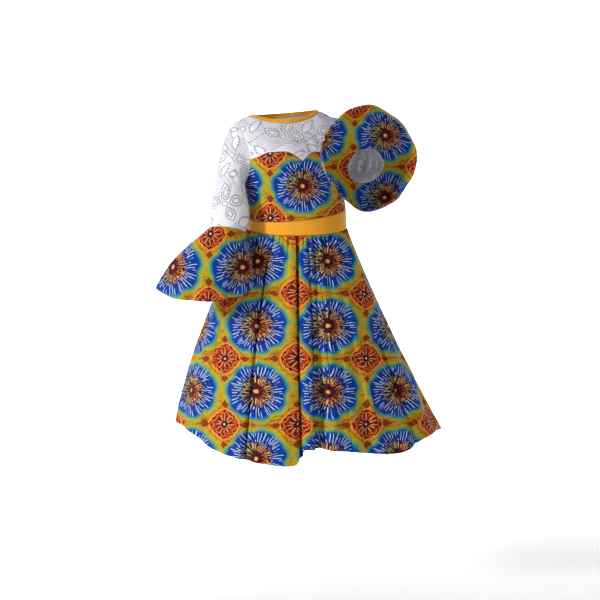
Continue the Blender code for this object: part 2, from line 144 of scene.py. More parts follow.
def bodyPoint(angle, step):
    # step 0 is the band, 1 the chest, 2 the neck edge: straight below the chest, one curve above it
    angle, step = np.broadcast_arrays(np.asarray(angle, float), np.asarray(step, float))
    low = np.minimum(step, 1)
    x, y, _ = section(angle, low)
    top = edgeHeight(body["bandTop"], angle)
    below = stack(x, y, top + (body["chestHeight"] - top) * low)
    chestX, chestY, turn = section(angle, np.ones_like(angle))
    chest, neck = stack(chestX, chestY, body["chestHeight"]), neckEdge(angle)
    rise = (neck - chest)[..., 2]
    side = np.sin(np.radians(angle)) ** 2
    way = np.radians(angle) + turn
    out = stack(np.sin(way), -np.cos(way), 0.0)
    leave = out * (0.012 + 0.050 * side)[..., None]
    leave[..., 2] += 1.3 * rise
    arrive = -out * (0.06 + 0.15 * side)[..., None]
    arrive[..., 2] += rise * (0.75 - 0.40 * side)
    above = hermite(chest, leave, neck, arrive, np.maximum(step - 1, 0))
    return np.where((step > 1)[..., None], above, below)


def seamStep(angle):
    # step of the sweetheart seam: the step at which each line of the body reaches the seam's height
    away = np.abs(wrap(np.asarray(angle, float)))
    inFront = smooth(np.minimum(away, 90), body["seamAngle"], body["seamHeight"])
    height = np.where(away <= 90, inFront, body["backSeam"])
    steps = np.linspace(1, 2, 61)
    heights = bodyPoint(np.asarray(angle)[:, None], steps[None, :])[..., 2]
    return np.array([np.interp(h, row, steps) for h, row in zip(height, heights)])


sideSeam = seamStep(np.array([90.0]))[0]
armholeLow = sideSeam * (1 - body["armholeLow"])
armholeHigh = sideSeam + (2 - sideSeam) * body["armholeHigh"]


def sideAngle(step):
    # where the front ends: the side seam, or the armhole, which bites in along a flattened arc
    across = np.clip((2 * step - armholeLow - armholeHigh) / (armholeHigh - armholeLow), -1, 1)
    return 90.0 - body["armholeBite"] * (1 - across**2) ** 0.55


def gridNormals(points):
    # cross product of the step along the row and the step down the column, at unit length
    return unit(np.cross(np.gradient(points, axis=1), np.gradient(points, axis=0)))


def softNoise(u, v, cell, seed):
    # smooth value noise: a seeded lattice of heights, eased between its corners
    heights = np.random.default_rng(seed).uniform(-1, 1, (64, 64))
    x, y = u / cell + 31.3, v / cell + 17.7
    i, j = np.floor(x).astype(int), np.floor(y).astype(int)
    fx, fy = x - i, y - j
    fx, fy = fx * fx * (3 - 2 * fx), fy * fy * (3 - 2 * fy)

    def corner(di, dj):
        # height at one corner of the cell that a point lies in
        return heights[(i + di) % 64, (j + dj) % 64]
    return ((corner(0, 0) * (1 - fx) + corner(1, 0) * fx) * (1 - fy)
            + (corner(0, 1) * (1 - fx) + corner(1, 1) * fx) * fy)


def creases(u, v, rows):
    # each row is a soft trough between two places of the flat cloth, bowed sideways and fading at both ends,
    # with a low ridge along one side: (u, v, u, v, depth, width, bow)
    total = np.zeros_like(u)
    for u0, v0, u1, v1, depth, width, bow in rows:
        du, dv = u1 - u0, v1 - v0
        length = np.hypot(du, dv)
        s = ((u - u0) * du + (v - v0) * dv) / length**2
        away = ((v - v0) * du - (u - u0) * dv) / length
        s01 = np.clip(s, 0, 1)
        away = away - bow * 4 * s01 * (1 - s01)
        beyond = (s - s01) * length
        fade = np.sin(np.pi * np.clip(0.12 + 0.76 * s01, 0, 1)) * np.exp(-(beyond / width) ** 2)
        ridge = 0.45 * np.exp(-((away - 1.7 * width) / width) ** 2)
        total += fade * depth * (ridge - np.exp(-(away / width) ** 2))
    return total


def acrossFlat(points, anchor, share):
    # the print runs across as x does, but never slower than a share of the way along the row
    step = np.diff(points, axis=1)
    way = np.maximum(np.abs(step[..., 0]), share * np.hypot(step[..., 0], step[..., 1]))
    run = np.concatenate([np.zeros((len(points), 1)), np.cumsum(way, axis=1)], axis=1)
    return run - run[:, anchor:anchor + 1]


def alongFlat(points, way, share):
    # the print runs down the columns as a given height or reach does,
    # but never slower than a share of their length
    step = np.linalg.norm(np.diff(points, axis=0), axis=-1)
    run = np.maximum(np.diff(way, axis=0), share * step)
    return way[:1] + np.concatenate([np.zeros((1, points.shape[1])), np.cumsum(run, axis=0)])


def evenBeyond(run, front):
    # outside the front columns each row runs on as the middle row does, so that the print isn't sheared there
    first, last = np.flatnonzero(front)[[0, -1]]
    even, level = run[len(run) // 2], run.copy()
    level[:, last:] = run[:, last:last + 1] + even[last:] - even[last]
    level[:, :first] = run[:, first:first + 1] + even[:first] - even[first]
    return level


def lengthAlong(points, axis, anchor):
    # length of cloth along rows or columns, from the anchor row or column
    step = np.linalg.norm(np.diff(points, axis=axis), axis=-1)
    zero = np.zeros_like(np.take(step, [0], axis=axis))
    run = np.concatenate([zero, np.cumsum(step, axis=axis)], axis=axis)
    return run - np.take(run, [anchor], axis=axis)


def spaced(count, length, closeStart, closeEnd):
    # even parameters from 0 to 1, with a few close ones beside edges that roll or turn
    near = np.array(cloth["closeRows"]) / length
    inner = np.linspace(0, 1, count + 1)
    extra = [near] if closeStart else []
    if closeEnd:
        extra.append(1 - near)
    inner = inner[(inner == 0) | (inner == 1) | ((inner > (near[-1] if closeStart else 0))
                                               & (inner < 1 - (near[-1] if closeEnd else 0)))]
    return np.unique(np.concatenate([inner, *extra]))


def quads(a, b, c, d):
    # four arrays of corners as one list of faces
    return np.stack([a, b, c, d], axis=-1).reshape(-1, 4)


def edgeDistance(points, edges):
    # distance of every point from the sewn edges, along its own row or column
    far = np.full(points.shape[:2], 1.0)
    if "start" in edges:
        far = np.minimum(far, lengthAlong(points, 0, 0))
    if "end" in edges:
        far = np.minimum(far, -lengthAlong(points, 0, -1))
    if "left" in edges:
        far = np.minimum(far, lengthAlong(points, 1, 0))
    if "right" in edges:
        far = np.minimum(far, -lengthAlong(points, 1, -1))
    return far


def shell(name, points, flat, wall, edges, hemmed=False, lift=None, inside=None):
    # closed shell: the grid moved half a wall out and half a wall in along its normals, joined round the rim.
    # A sewn edge rolls in; a hem, at the last row, is a second layer inside, which ends in a small step.
    inside = points.mean(axis=1, keepdims=True) if inside is None else inside
    normal = gridNormals(points)
    outward = (normal * (points - inside)).sum(-1).mean()
    if outward < 0:
        points, flat, normal = points[:, ::-1], flat[:, ::-1], -normal[:, ::-1]
        lift = None if lift is None else lift[:, ::-1]
        edges = [{"left": "right", "right": "left"}.get(edge, edge) for edge in edges]
    if lift is not None:
        points = points + normal * lift[..., None]
        normal = gridNormals(points)
    sewn = edgeDistance(points, edges)
    points = points - normal * (cloth["seamRoll"] * np.exp(-(sewn / cloth["seamReach"]) ** 2))[..., None]
    depth = np.full(points.shape[:2], wall)
    if hemmed:
        fromHem = -lengthAlong(points, 0, -1)
        depth = depth + cloth["hemStep"] * np.clip((cloth["hem"] - fromHem) / cloth["hemSlope"], 0, 1)
    outer, inner = points + normal * wall / 2, points + normal * (wall / 2 - depth)[..., None]
    rows, columns = points.shape[:2]
    top = np.arange(rows * columns).reshape(rows, columns)
    low = top + rows * columns
    faces = np.concatenate([
        quads(top[:-1, :-1], top[:-1, 1:], top[1:, 1:], top[1:, :-1]),
        quads(low[:-1, :-1], low[1:, :-1], low[1:, 1:], low[:-1, 1:]),
        quads(top[0, :-1], low[0, :-1], low[0, 1:], top[0, 1:]),
        quads(top[-1, :-1], top[-1, 1:], low[-1, 1:], low[-1, :-1]),
        quads(top[:-1, 0], top[1:, 0], low[1:, 0], low[:-1, 0]),
        quads(top[:-1, -1], low[:-1, -1], low[1:, -1], top[1:, -1]),
    ])
    made = makeMesh(name, np.concatenate([outer.reshape(-1, 3), inner.reshape(-1, 3)]), faces)
    layer = made.data.uv_layers.new(name="flat")
    both = np.concatenate([flat.reshape(-1, 2), flat.reshape(-1, 2)])
    layer.data.foreach_set("uv", both[faces.ravel()].ravel().astype(np.float32))
    near = made.data.attributes.new("seam", "FLOAT", "POINT")
    near.data.foreach_set("value", np.concatenate([sewn.ravel(), sewn.ravel()]).astype(np.float32))
    made.data.shade_smooth()
    made.data.set_sharp_from_angle(angle=np.radians(60))
    print("cloth:", name, len(faces) * 2, "triangles")
    return made


def makeMesh(name, verts, faces):
    # an object of these points and faces, at the origin and unturned
    mesh = bpy.data.meshes.new(name)
    mesh.from_pydata(verts.tolist(), [], faces.tolist())
    made = bpy.data.objects.new(name, mesh)
    bpy.context.collection.objects.link(made)
    return made


def uprightLine(points, x):
    # the points' own heights on an upright line, which tells the outside of a panel from its inside
    return points * np.array([0, 0, 1]) + np.array([x, 0, 0])


def declare(piece, node, slot, look, flat, points):
    # the flat cut is the longest row by the longest column of the piece, and its area that of the grid
    piece.data.materials.append(look)
    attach(piece, "root")
    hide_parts(node)
    width = float(np.ptp(lengthAlong(points, 1, 0), axis=1).max())
    length = float(np.ptp(lengthAlong(points, 0, 0), axis=0).max())
    # half the cross product of each cell's diagonals is its area
    down, up = points[1:, 1:] - points[:-1, :-1], points[1:, :-1] - points[:-1, 1:]
    area = min(float(np.linalg.norm(np.cross(down, up), axis=-1).sum() / 2), width * length)
    # the area is held to at most that of the rectangle
    print(f"  flat cut {width:.3f} x {length:.3f} m, {area:.4f} square metres")


fullTurn = 6.2832   # radians


class Wire:
    # one output socket; arithmetic on it adds Math nodes
    def __init__(self, tree, socket):
        self.tree, self.socket = tree, socket

    def node(self, kind, settings=None, inputs=None, output=0):
        # any other node: settings are set, wires among the inputs are linked and other inputs are values
        made = self.tree.nodes.new(kind)
        for name, value in (settings or {}).items():
            if name == "stops":
                setStops(made.color_ramp, value)
            else:
                setattr(made, name, value)
        for key, value in (inputs or {}).items():
            if isinstance(value, Wire):
                self.tree.links.new(value.socket, made.inputs[key])
            else:
                made.inputs[key].default_value = value
        return Wire(self.tree, made.outputs[output])

    def math(self, operation, *others):
        # a Math node whose first value is this wire
        return self.node("ShaderNodeMath", {"operation": operation}, dict(enumerate((self, *others))))

    def __add__(self, other):
        return self.math("ADD", other)

    def __sub__(self, other):
        return self.math("SUBTRACT", other)

    def __mul__(self, other):
        return self.math("MULTIPLY", other)

    def __truediv__(self, other):
        return self.math("DIVIDE", other)

    def __rsub__(self, other):
        return self.node("ShaderNodeMath", {"operation": "SUBTRACT"}, {0: other, 1: self})

    __radd__, __rmul__ = __add__, __mul__

    def fade(self, start, end):
        # 0 at start, 1 at end, eased between; start may be the larger
        return self.node("ShaderNodeMapRange", {"interpolation_type": "SMOOTHSTEP"},
                         {"Value": self, "From Min": start, "From Max": end})

    def mix(self, other, factor):
        # this colour with the other laid over it by the factor
        return self.node("ShaderNodeMix", {"data_type": "RGBA"}, {0: factor, 6: self, 7: other}, 2)

    def ramp(self, stops):
        # the colour at this value, between stops of place and colour
        return self.node("ShaderNodeValToRGB", {"stops": stops}, {0: self})


def setStops(ramp, stops):
    # one stop of the ramp for each place and colour
    while len(ramp.elements) < len(stops):
        ramp.elements.new(0.5)
    for element, (place, color) in zip(ramp.elements, stops):
        element.position, element.color = place, color


def dye(red, green, blue):
    # screen values 0 to 255 as the linear colour of a shader
    part = np.array([red, green, blue]) / 255
    part = np.where(part <= 0.04045, part / 12.92, ((part + 0.055) / 1.055) ** 2.4)
    return (*part.tolist(), 1.0)


def newLook(name):
    # a material, its shader, a wire to build from, and the coordinates of the flat cloth
    look = bpy.data.materials.new(name)
    look.use_nodes = True
    shader = look.node_tree.nodes["Principled BSDF"]
    start = Wire(look.node_tree, None)
    flat = start.node("ShaderNodeUVMap", {"uv_map": "flat"})
    return look, shader, start, flat


def parts(vector):
    # the first two components of a vector
    split = vector.tree.nodes.new("ShaderNodeSeparateXYZ")
    vector.tree.links.new(vector.socket, split.inputs[0])
    return Wire(vector.tree, split.outputs[0]), Wire(vector.tree, split.outputs[1])


def joined(u, v):
    # two values as one vector
    return u.node("ShaderNodeCombineXYZ", inputs={0: u, 1: v})


def noise(vector, scale, detail=2.0, rough=0.5):
    # soft noise over the flat cloth, about 0 to 1
    return vector.node("ShaderNodeTexNoise", {"noise_dimensions": "2D"},
                       {"Vector": vector, "Scale": scale, "Detail": detail, "Roughness": rough})


def plug(look, shader, socket, wire):
    # a varying value linked to one of the shader's sockets
    look.node_tree.links.new(wire.socket, shader.inputs[socket])


def weave(u, v, threads):
    # over and under threads as a product of two sines
    return (u * (threads * fullTurn)).math("SINE") * (v * (threads * fullTurn)).math("SINE")


def seamLine(start):
    # distance to the nearest sewn edge, as each piece stores it
    return start.node("ShaderNodeAttribute", {"attribute_name": "seam"}, output=2)


def bumped(look, shader, height, distance, strength):
    # the height, in units of the distance, tilts the shader's normal
    out = height.node("ShaderNodeBump", inputs={"Strength": strength, "Distance": distance, "Height": height})
    plug(look, shader, "Normal", out)


waxPrint = {
    "pitchU": 0.2045, "pitchV": 0.1860,           # repeat of the blooms across and down
    "fieldU": 0.0835, "fieldV": 0.0762,           # half size of a bloom's blue field
    # rings of radial marks, from the heart outwards: colour, strength, count, shift of the turn,
    # start and its spread, end and its spread, half width, seed
    "rings": (
        ("warm", 0.92, 27, 0.0, 0.0130, 0.010, 0.024, 0.014, 0.0016, 11.0),
        ("petal", 0.90, 37, 0.11, 0.0220, 0.010, 0.032, 0.012, 0.0010, 15.0),
        ("cream", 0.80, 23, 0.05, 0.0180, 0.014, 0.026, 0.018, 0.0009, 31.0),
        ("pale", 0.85, 52, 0.0, 0.034, 0.010, 0.042, 0.014, 0.0008, 5.0),
        ("deepBlue", 0.75, 47, 0.018, 0.038, 0.020, 0.048, 0.030, 0.0019, 2.0),
        ("white", 0.95, 47, 0.0, 0.040, 0.020, 0.050, 0.031, 0.00098, 2.0),
        ("white", 0.80, 41, 0.045, 0.048, 0.018, 0.054, 0.022, 0.00075, 21.0)),
    # lines of the ground: aside from the sway, half width, colour
    "lines": ((0.0, 0.0030, "rust"), (-0.0074, 0.0015, "orange"), (0.0072, 0.0022, "orange"),
              (0.0120, 0.0012, "rust"), (-0.0114, 0.0016, "rust")),
    "medallion": 0.0430, "medallionShift": 0.045,  # half size, and shift across as a share of the repeat
    "roughness": 0.54,
    "blue": dye(0, 52, 152), "deepBlue": dye(0, 18, 66), "turquoise": dye(48, 134, 140),
    "lime": dye(146, 162, 62), "gold": dye(202, 160, 18), "ochre": dye(178, 128, 14),
    "orange": dye(224, 116, 22), "red": dye(150, 30, 18), "maroon": dye(74, 10, 20), "night": dye(28, 6, 30),
    "cream": dye(246, 200, 134), "white": dye(196, 216, 236),
    "brown": dye(58, 24, 12), "tan": dye(170, 152, 92),
    "peach": dye(240, 160, 92), "rust": dye(150, 78, 10), "violet": dye(44, 14, 66), "eye": dye(232, 178, 84),
}


def polar(u, v):
    # distance and turn from the middle of a motif
    radius = (u * u + v * v).math("SQRT")
    return radius, v.math("ARCTAN2", u)


def rayMarks(radius, turn, count, inner, innerSpread, outer, outerSpread, wide, seed):
    # radial dashes: one to each slice of the turn, with its own start, end and lean
    slices = turn * (count / fullTurn) + (count + 0.5)
    number = slices.math("FLOOR")
    chance = number.node("ShaderNodeTexWhiteNoise", {"noise_dimensions": "1D"},
                         {"W": (number + count * 0.5).math("MODULO", float(count)) + seed}, 1)
    first, second = parts(chance)
    aside = (slices - number - 0.5 + (first - 0.5) * 0.35) * radius * (fullTurn / count)
    line = aside.math("ABSOLUTE").fade(wide * 1.35, wide * 0.55)
    begin = first * innerSpread + inner
    end = second * outerSpread + outer
    return line * (radius - begin).fade(-0.0008, 0.0012) * (end - radius).fade(-0.0008, 0.0016)


def makePrint(name):
    # layers of colour, each laid over the last by a factor that is a distance to a motif's edge
    look, shader, start, flat = newLook(name)
    w = waxPrint
    u, v = parts(flat)
    wander = noise(flat, 34.0, 3.0, 0.6)
    wander2 = noise(joined(u + 3.1, v + 1.7), 34.0, 3.0, 0.6)
    du, dv = (wander - 0.5) * 0.010, (wander2 - 0.5) * 0.010

    # blooms stand on a lattice, and a medallion in the middle of each four
    x = ((u / w["pitchU"] + 0.5).math("FRACT") - 0.5) * w["pitchU"]
    y = ((v / w["pitchV"] + 0.5).math("FRACT") - 0.5) * w["pitchV"]
    mx = ((u / w["pitchU"] - w["medallionShift"]).math("FRACT") - 0.5) * w["pitchU"]
    my = ((v / w["pitchV"]).math("FRACT") - 0.5) * w["pitchV"]

    # the blue field has notches between its lobes, and fades through green to gold
    fieldR, fieldTurn = polar((x + du * 0.7) / w["fieldU"], (y + dv * 0.7) / w["fieldV"])
    notches = (fieldTurn * 3.5 + 0.4).math("COSINE").math("ABSOLUTE").math("POWER", 6.0) * 0.085
    field = fieldR / (1.035 - notches + (fieldTurn * 2.0 + 0.9).math("SINE") * 0.022
                      + (fieldTurn * 9.0 + 0.4).math("SINE") * 0.016)
    color = (field / 1.8).ramp([
        (0.00, w["deepBlue"]), (0.36, w["blue"]), (0.515, w["blue"]), (0.556, w["turquoise"]),
        (0.606, w["lime"]), (0.665, w["gold"]), (0.88, w["gold"]), (1.0, w["ochre"])])

    # ground: orange and brown lines that sway from one medallion to the next, and thin ones round the blooms
    outside = field.fade(1.10, 1.24)
    patchy = noise(joined(u * 1.4, v * 2.4), 24.0, 2.0)
    color = color.mix(w["ochre"], patchy.fade(0.50, 0.68) * outside * 0.55)
    color = color.mix(w["lime"], noise(joined(u + 9.0, v), 20.0).fade(0.58, 0.74) * outside * 0.45)
    swirl = (field * 3.6 + wander * 2.6 + (u * 31.0 + v * 12.0).math("SINE") * 0.30).math("FRACT")
    color = color.mix(w["rust"], (swirl - 0.60).math("ABSOLUTE").fade(0.070, 0.030) * outside * 0.50)
    sway = my + (mx * 46.0 + 0.6).math("SINE") * 0.0040 + (wander - 0.5) * 0.016
    between = mx.math("ABSOLUTE").fade(0.040, 0.054) * outside
    for aside, wide, tone in w["lines"]:
        line = (sway + aside).math("ABSOLUTE").fade(wide * 1.4, wide * 0.6)
        color = color.mix(w[tone], line * between * 0.85)
    vein = noise(joined(u * 1.5, v * 0.6), 46.0, 3.0, 0.6)
    color = color.mix(w["brown"], (vein - 0.5).math("ABSOLUTE").fade(0.030, 0.008) * outside * 0.50)
    streak = noise(joined(u * 0.5 + 2.0, v * 2.6), 40.0, 2.0)
    color = color.mix(w["rust"], streak.fade(0.56, 0.68) * outside * 0.6)

    # heart of the bloom: dark ground, rings of marks, dark blots, maroon star, yellow eye
    radius, turn = polar(x + du * 0.5, y + dv * 0.5)
    color = color.mix(w["night"], radius.fade(0.060, 0.036) * 0.94)
    lowLeft = ((turn + 2.2).math("COSINE") * 0.5 + 0.5).fade(0.55, 1.0)
    color = color.mix(w["violet"], radius.fade(0.052, 0.034) * lowLeft * 0.7)
    leftward = (turn.math("COSINE") * -0.5 + 0.5).fade(0.35, 0.80)
    petalColor, warm = (
        start.node("ShaderNodeMix", {"data_type": "RGBA"}, {0: leftward, 6: w[tone], 7: w["tan"]}, 2)
        for tone in ("peach", "orange"))
    tones = dict(w, warm=warm, petal=petalColor, pale=petalColor.mix(w["white"], 0.55))
    for tone, strength, count, shift, *marks in w["rings"]:
        color = color.mix(tones[tone], rayMarks(radius, turn + shift, count, *marks) * strength)
    blots = noise(flat, 160.0, 2.0, 0.6).fade(0.52, 0.62) * radius.fade(0.050, 0.042)
    color = color.mix(w["night"], blots * 0.62)
    points = (turn * 4.5 + 0.6).math("COSINE").math("ABSOLUTE")
    star = (radius / (points * 0.0090 + 0.0105)).fade(1.10, 0.90)
    arms = rayMarks(radius, turn + 0.3, 13, 0.002, 0.003, 0.015, 0.016, 0.0024, 41.0)
    color = color.mix(w["maroon"], star.math("MAXIMUM", arms) * 0.95)
    color = color.mix(w["eye"], (radius / 0.0054).fade(1.15, 0.85))

    # medallion: scalloped diamond, outlined three times, with thin petals round a dark eye
    size = w["medallion"]
    ax, ay = ((mx + du * 0.4) / size).math("ABSOLUTE"), ((my + dv * 0.4) / (size * 0.97)).math("ABSOLUTE")
    mRadius, mTurn = polar(mx + du * 0.3, my + dv * 0.3)
    scallop = (mTurn * 16.0).math("SINE") * 0.045 + (wander2 - 0.5) * 0.10
    diamond = ax.math("POWER", 1.4) + ay.math("POWER", 1.4) + scallop
    color = color.mix(w["rust"], (diamond - 1.38).math("ABSOLUTE").fade(0.070, 0.030) * 0.85)
    color = color.mix(w["orange"], diamond.fade(1.22, 1.12))
    color = color.mix(w["red"], diamond.fade(1.04, 0.96))
    dark = noise(joined(u + 4.0, v), 60.0, 2.0).fade(0.40, 0.56)
    color = color.mix(w["maroon"], dark * diamond.fade(1.0, 0.9) * 0.85)
    color = color.mix(w["peach"], (diamond - 1.05).math("ABSOLUTE").fade(0.055, 0.020) * 0.85)
    loops = (mTurn * 6.0).math("SINE").math("ABSOLUTE") * 0.22
    color = color.mix(w["orange"], (diamond - 0.62 - loops).math("ABSOLUTE").fade(0.075, 0.030) * 0.95)
    petal = rayMarks(mRadius, mTurn, 12, 0.0085, 0.004, 0.021, 0.010, 0.0014, 7.0)
    color = color.mix(w["peach"], petal * diamond.fade(0.98, 0.88) * 0.95)
    tips = rayMarks(mRadius, mTurn + 0.26, 24, 0.022, 0.006, 0.028, 0.010, 0.0010, 13.0)
    color = color.mix(w["orange"], tips * diamond.fade(0.98, 0.88) * 0.9)
    color = color.mix(w["night"], (mRadius / 0.0080).fade(1.15, 0.85))
    color = color.mix(w["cream"], (mRadius / 0.0030).fade(1.25, 0.80))

    # brown leaves with dark ribs at the four corners of each medallion
    for far, across, along, long, wide in (
            (0.0610, mx, my, 0.0135, 0.0090), (0.0580, my, mx, 0.0115, 0.0095)):
        outward = (across.math("ABSOLUTE") - far + du) / long
        narrowing = (outward * 0.5 + 1.0).math("MAXIMUM", 0.6)
        leaf = (outward.math("ABSOLUTE") + ((along + dv * 1.2) / wide).math("ABSOLUTE") * narrowing
                + (wander2 - 0.5) * 1.1)
        color = color.mix(w["orange"], leaf.fade(1.45, 1.25) * 0.75)
        color = color.mix(w["brown"], leaf.fade(1.15, 0.95) * 0.95)
        ribs = ((across + along * 0.4) * 1300.0).math("SINE").fade(0.20, 0.75)
        color = color.mix(w["orange"], ribs * leaf.fade(1.0, 0.75) * 0.55)

    # wax crackle and uneven dye, then painted shade along the sewn edges
    mottle = noise(flat, 120.0, 4.0, 0.7)
    color = color.mix(w["deepBlue"], mottle.fade(0.54, 0.74) * 0.30)
    color = color.mix(w["night"], noise(flat, 9.0, 2.0).fade(0.35, 0.8) * 0.08)
    seam = seamLine(start)
    # painted shade: near black within about 2 mm of a sewn edge, for the shadow in the seam's groove
    color = color.mix(dye(24, 16, 16), seam.fade(0.0022, 0.0004) * 0.45)
    plug(look, shader, "Base Color", color)
    plug(look, shader, "Roughness", mottle * 0.16 + w["roughness"])
    threads = weave(u, v, 900.0)
    pucker = (u * 1050.0).math("SINE") * (v * 1050.0).math("SINE") * seam.fade(0.006, 0.001)
    bumped(look, shader, threads * 0.3 + noise(flat, 260.0, 3.0) * 0.7 + pucker * 0.8, 0.00035, 0.6)
    shader.inputs["Specular IOR Level"].default_value = 0.12
    return look


laceWork = {
    "flowerU": 0.150, "flowerV": 0.136, "petals": 5,
    "petalFar": 0.0370, "petalLong": 0.0240, "petalWide": 0.0150,
    "hole": 0.00125, "eye": 0.0078,               # half width of a row of holes, radius of the eye's row
    # leaves: across and up from the gap's middle, lean in degrees, half length, half width, half the holes
    "leaves": ((0.006, -0.042, 62.0, 0.0260, 0.0125, 16), (-0.008, 0.040, -52.0, 0.0250, 0.0120, 15),
               (0.030, 0.052, 12.0, 0.0170, 0.0080, 11)),
    "thread": dye(243, 242, 247), "tint": dye(228, 227, 238), "shade": dye(196, 197, 214),
    # colour of the holes: painted shade of the inside seen through them
    "dark": dye(50, 52, 68),
}


def whiteNoise(place):
    # one chance value for each whole number
    return place.node("ShaderNodeTexWhiteNoise", {"noise_dimensions": "1D"}, {"W": place})


def turned(u, v, degrees):
    # the same place in axes turned by an angle
    sine, cosine = float(np.sin(np.radians(degrees))), float(np.cos(np.radians(degrees)))
    return u * cosine + v * sine, v * cosine - u * sine


def holeLoop(u, v, long, wide, count):
    # a leaf with two pointed ends: the square of the way along plus the way across is 1 on its edge,
    # where small holes stand on every other slice of the turn
    along, across = u / long, v / wide
    edge = along * along + across.math("ABSOLUTE")
    near = (edge - 1.0).math("ABSOLUTE") * (wide * 0.8)
    dots = (across.math("ARCTAN2", along) * float(count)).math("COSINE").fade(-0.45, 0.15)
    return near.fade(laceWork["hole"] * 1.4, laceWork["hole"] * 0.6) * dots, near, edge


def makeLace(name):
    # each motif is a distance to its edge; small holes stand along the edges, and net fills patches between
    look, shader, start, flat = newLook(name)
    w = laceWork
    u0, v0 = parts(flat)
    bend, bend2 = noise(flat, 9.0, 1.0), noise(joined(u0 + 5.0, v0 + 2.0), 9.0, 1.0)
    u, v = u0 + (bend - 0.5) * 0.036, v0 + (bend2 - 0.5) * 0.036

    # flowers in staggered rows, each turned by chance, with a petal missing here and there
    row = (v / w["flowerV"]).math("FLOOR")
    place = u / w["flowerU"] + (row * 0.5).math("FRACT")
    x, y = (place.math("FRACT") - 0.5) * w["flowerU"], ((v / w["flowerV"]).math("FRACT") - 0.5) * w["flowerV"]
    number = place.math("FLOOR") * 7.0 + row * 13.0
    radius, turn = polar(x, y)
    petalTurn = fullTurn / w["petals"]
    places = turn / petalTurn + whiteNoise(number) * 5.0 + 40.0
    folded = (places.math("FRACT") - 0.5) * petalTurn
    kept = whiteNoise(places.math("FLOOR").math("MODULO", float(w["petals"])) + number * 3.7).fade(0.20, 0.21)
    px, py = radius * folded.math("COSINE") - w["petalFar"], radius * folded.math("SINE")
    petal, petalNear, petalEdge = holeLoop(px, py, w["petalLong"], w["petalWide"], 17)
    heart, heartNear, _ = holeLoop(px + 0.001, py, w["petalLong"] * 0.56, w["petalWide"] * 0.50, 10)
    eyeNear = (radius - w["eye"]).math("ABSOLUTE")
    eye = eyeNear.fade(w["hole"] * 1.4, w["hole"] * 0.6) * (turn * 9.0).math("COSINE").fade(-0.4, 0.2)
    holes = (petal.math("MAXIMUM", heart) * kept).math("MAXIMUM", eye)
    near = petalNear.math("MINIMUM", heartNear) + (1.0 - kept) * 0.02
    clear = (petalEdge.fade(1.08, 1.30)).math("MAXIMUM", 1.0 - kept) * radius.fade(0.010, 0.013)

    # leaves in the gaps between the flowers, leaning both ways, and a swaying stem of holes
    lx = ((place + 0.5).math("FRACT") - 0.5) * w["flowerU"]
    for aside, up, lean, long, wide, count in w["leaves"]:
        a, b = turned(lx + aside, y + up, lean)
        leaf, leafNear, leafEdge = holeLoop(a, b, long, wide, count)
        holes = holes.math("MAXIMUM", leaf * clear)
        near = near.math("MINIMUM", leafNear + (1.0 - clear) * 0.02)
        clear = clear * leafEdge.fade(1.10, 1.35)
    stemNear = (y - (lx * 62.0).math("SINE") * 0.007 - lx * 0.25).math("ABSOLUTE")
    stem = stemNear.fade(w["hole"] * 1.5, w["hole"] * 0.7) * (lx * 1500.0).math("COSINE").fade(-0.5, 0.1)
    holes = holes.math("MAXIMUM", stem * clear * lx.math("ABSOLUTE").fade(0.052, 0.050))

    # net in patches between them: rows of fine holes on a slant, edged by a row of larger holes
    nu, nv = turned(u0, v0, 41.0)
    rows = (nu * 900.0).math("SINE").fade(0.05, 0.60) * (nv * 1250.0).math("SINE").fade(-0.20, 0.45)
    spot = noise(joined(u0 + 0.7, v0 - 0.4), 10.0, 0.0)
    patch = spot.fade(0.562, 0.572) * clear
    borderHoles = ((u0 + v0) * 1300.0).math("COSINE").fade(-0.4, 0.2)
    border = (spot - 0.557).math("ABSOLUTE").fade(0.0075, 0.0045) * borderHoles
    seam = seamLine(start)
    keep = seam.fade(0.002, 0.006)
    holes, net = holes.math("MAXIMUM", border * clear) * keep, rows * (patch * 0.65 + clear * 0.35) * keep
    stitchAndShade = near.fade(0.0042, 0.0014)
    color = noise(flat, 22.0, 3.0).ramp([(0.35, w["thread"]), (0.80, w["tint"])])
    # painted shade: a grey band along the raised stitching round each motif, and a lighter grey over the net
    # patches
    color = color.mix(w["shade"], stitchAndShade * 0.34)
    color = color.mix(w["shade"], patch * 0.16)
    # painted shade: holes and net are coloured nearly black, for the shaded inside seen through them
    color = color.mix(w["dark"], holes.math("MAXIMUM", net * 0.60) * 0.90)
    # painted shade in the seams: grey within about 2 mm of a sewn edge
    color = color.mix(w["shade"], seam.fade(0.0022, 0.0004) * 0.6)
    plug(look, shader, "Base Color", color)
    plug(look, shader, "Alpha", 1.0 - (holes * 0.72).math("MAXIMUM", net * 0.55))
    raised = stitchAndShade * 0.9 - holes * 0.8 - net * 0.4 + noise(flat, 420.0, 2.0) * 0.35
    bumped(look, shader, raised + weave(u0, v0, 620.0) * 0.12, 0.0012, 0.9)
    shader.inputs["Roughness"].default_value = 0.86
    shader.inputs["Specular IOR Level"].default_value = 0.15
    look.surface_render_method = "DITHERED"
    return look


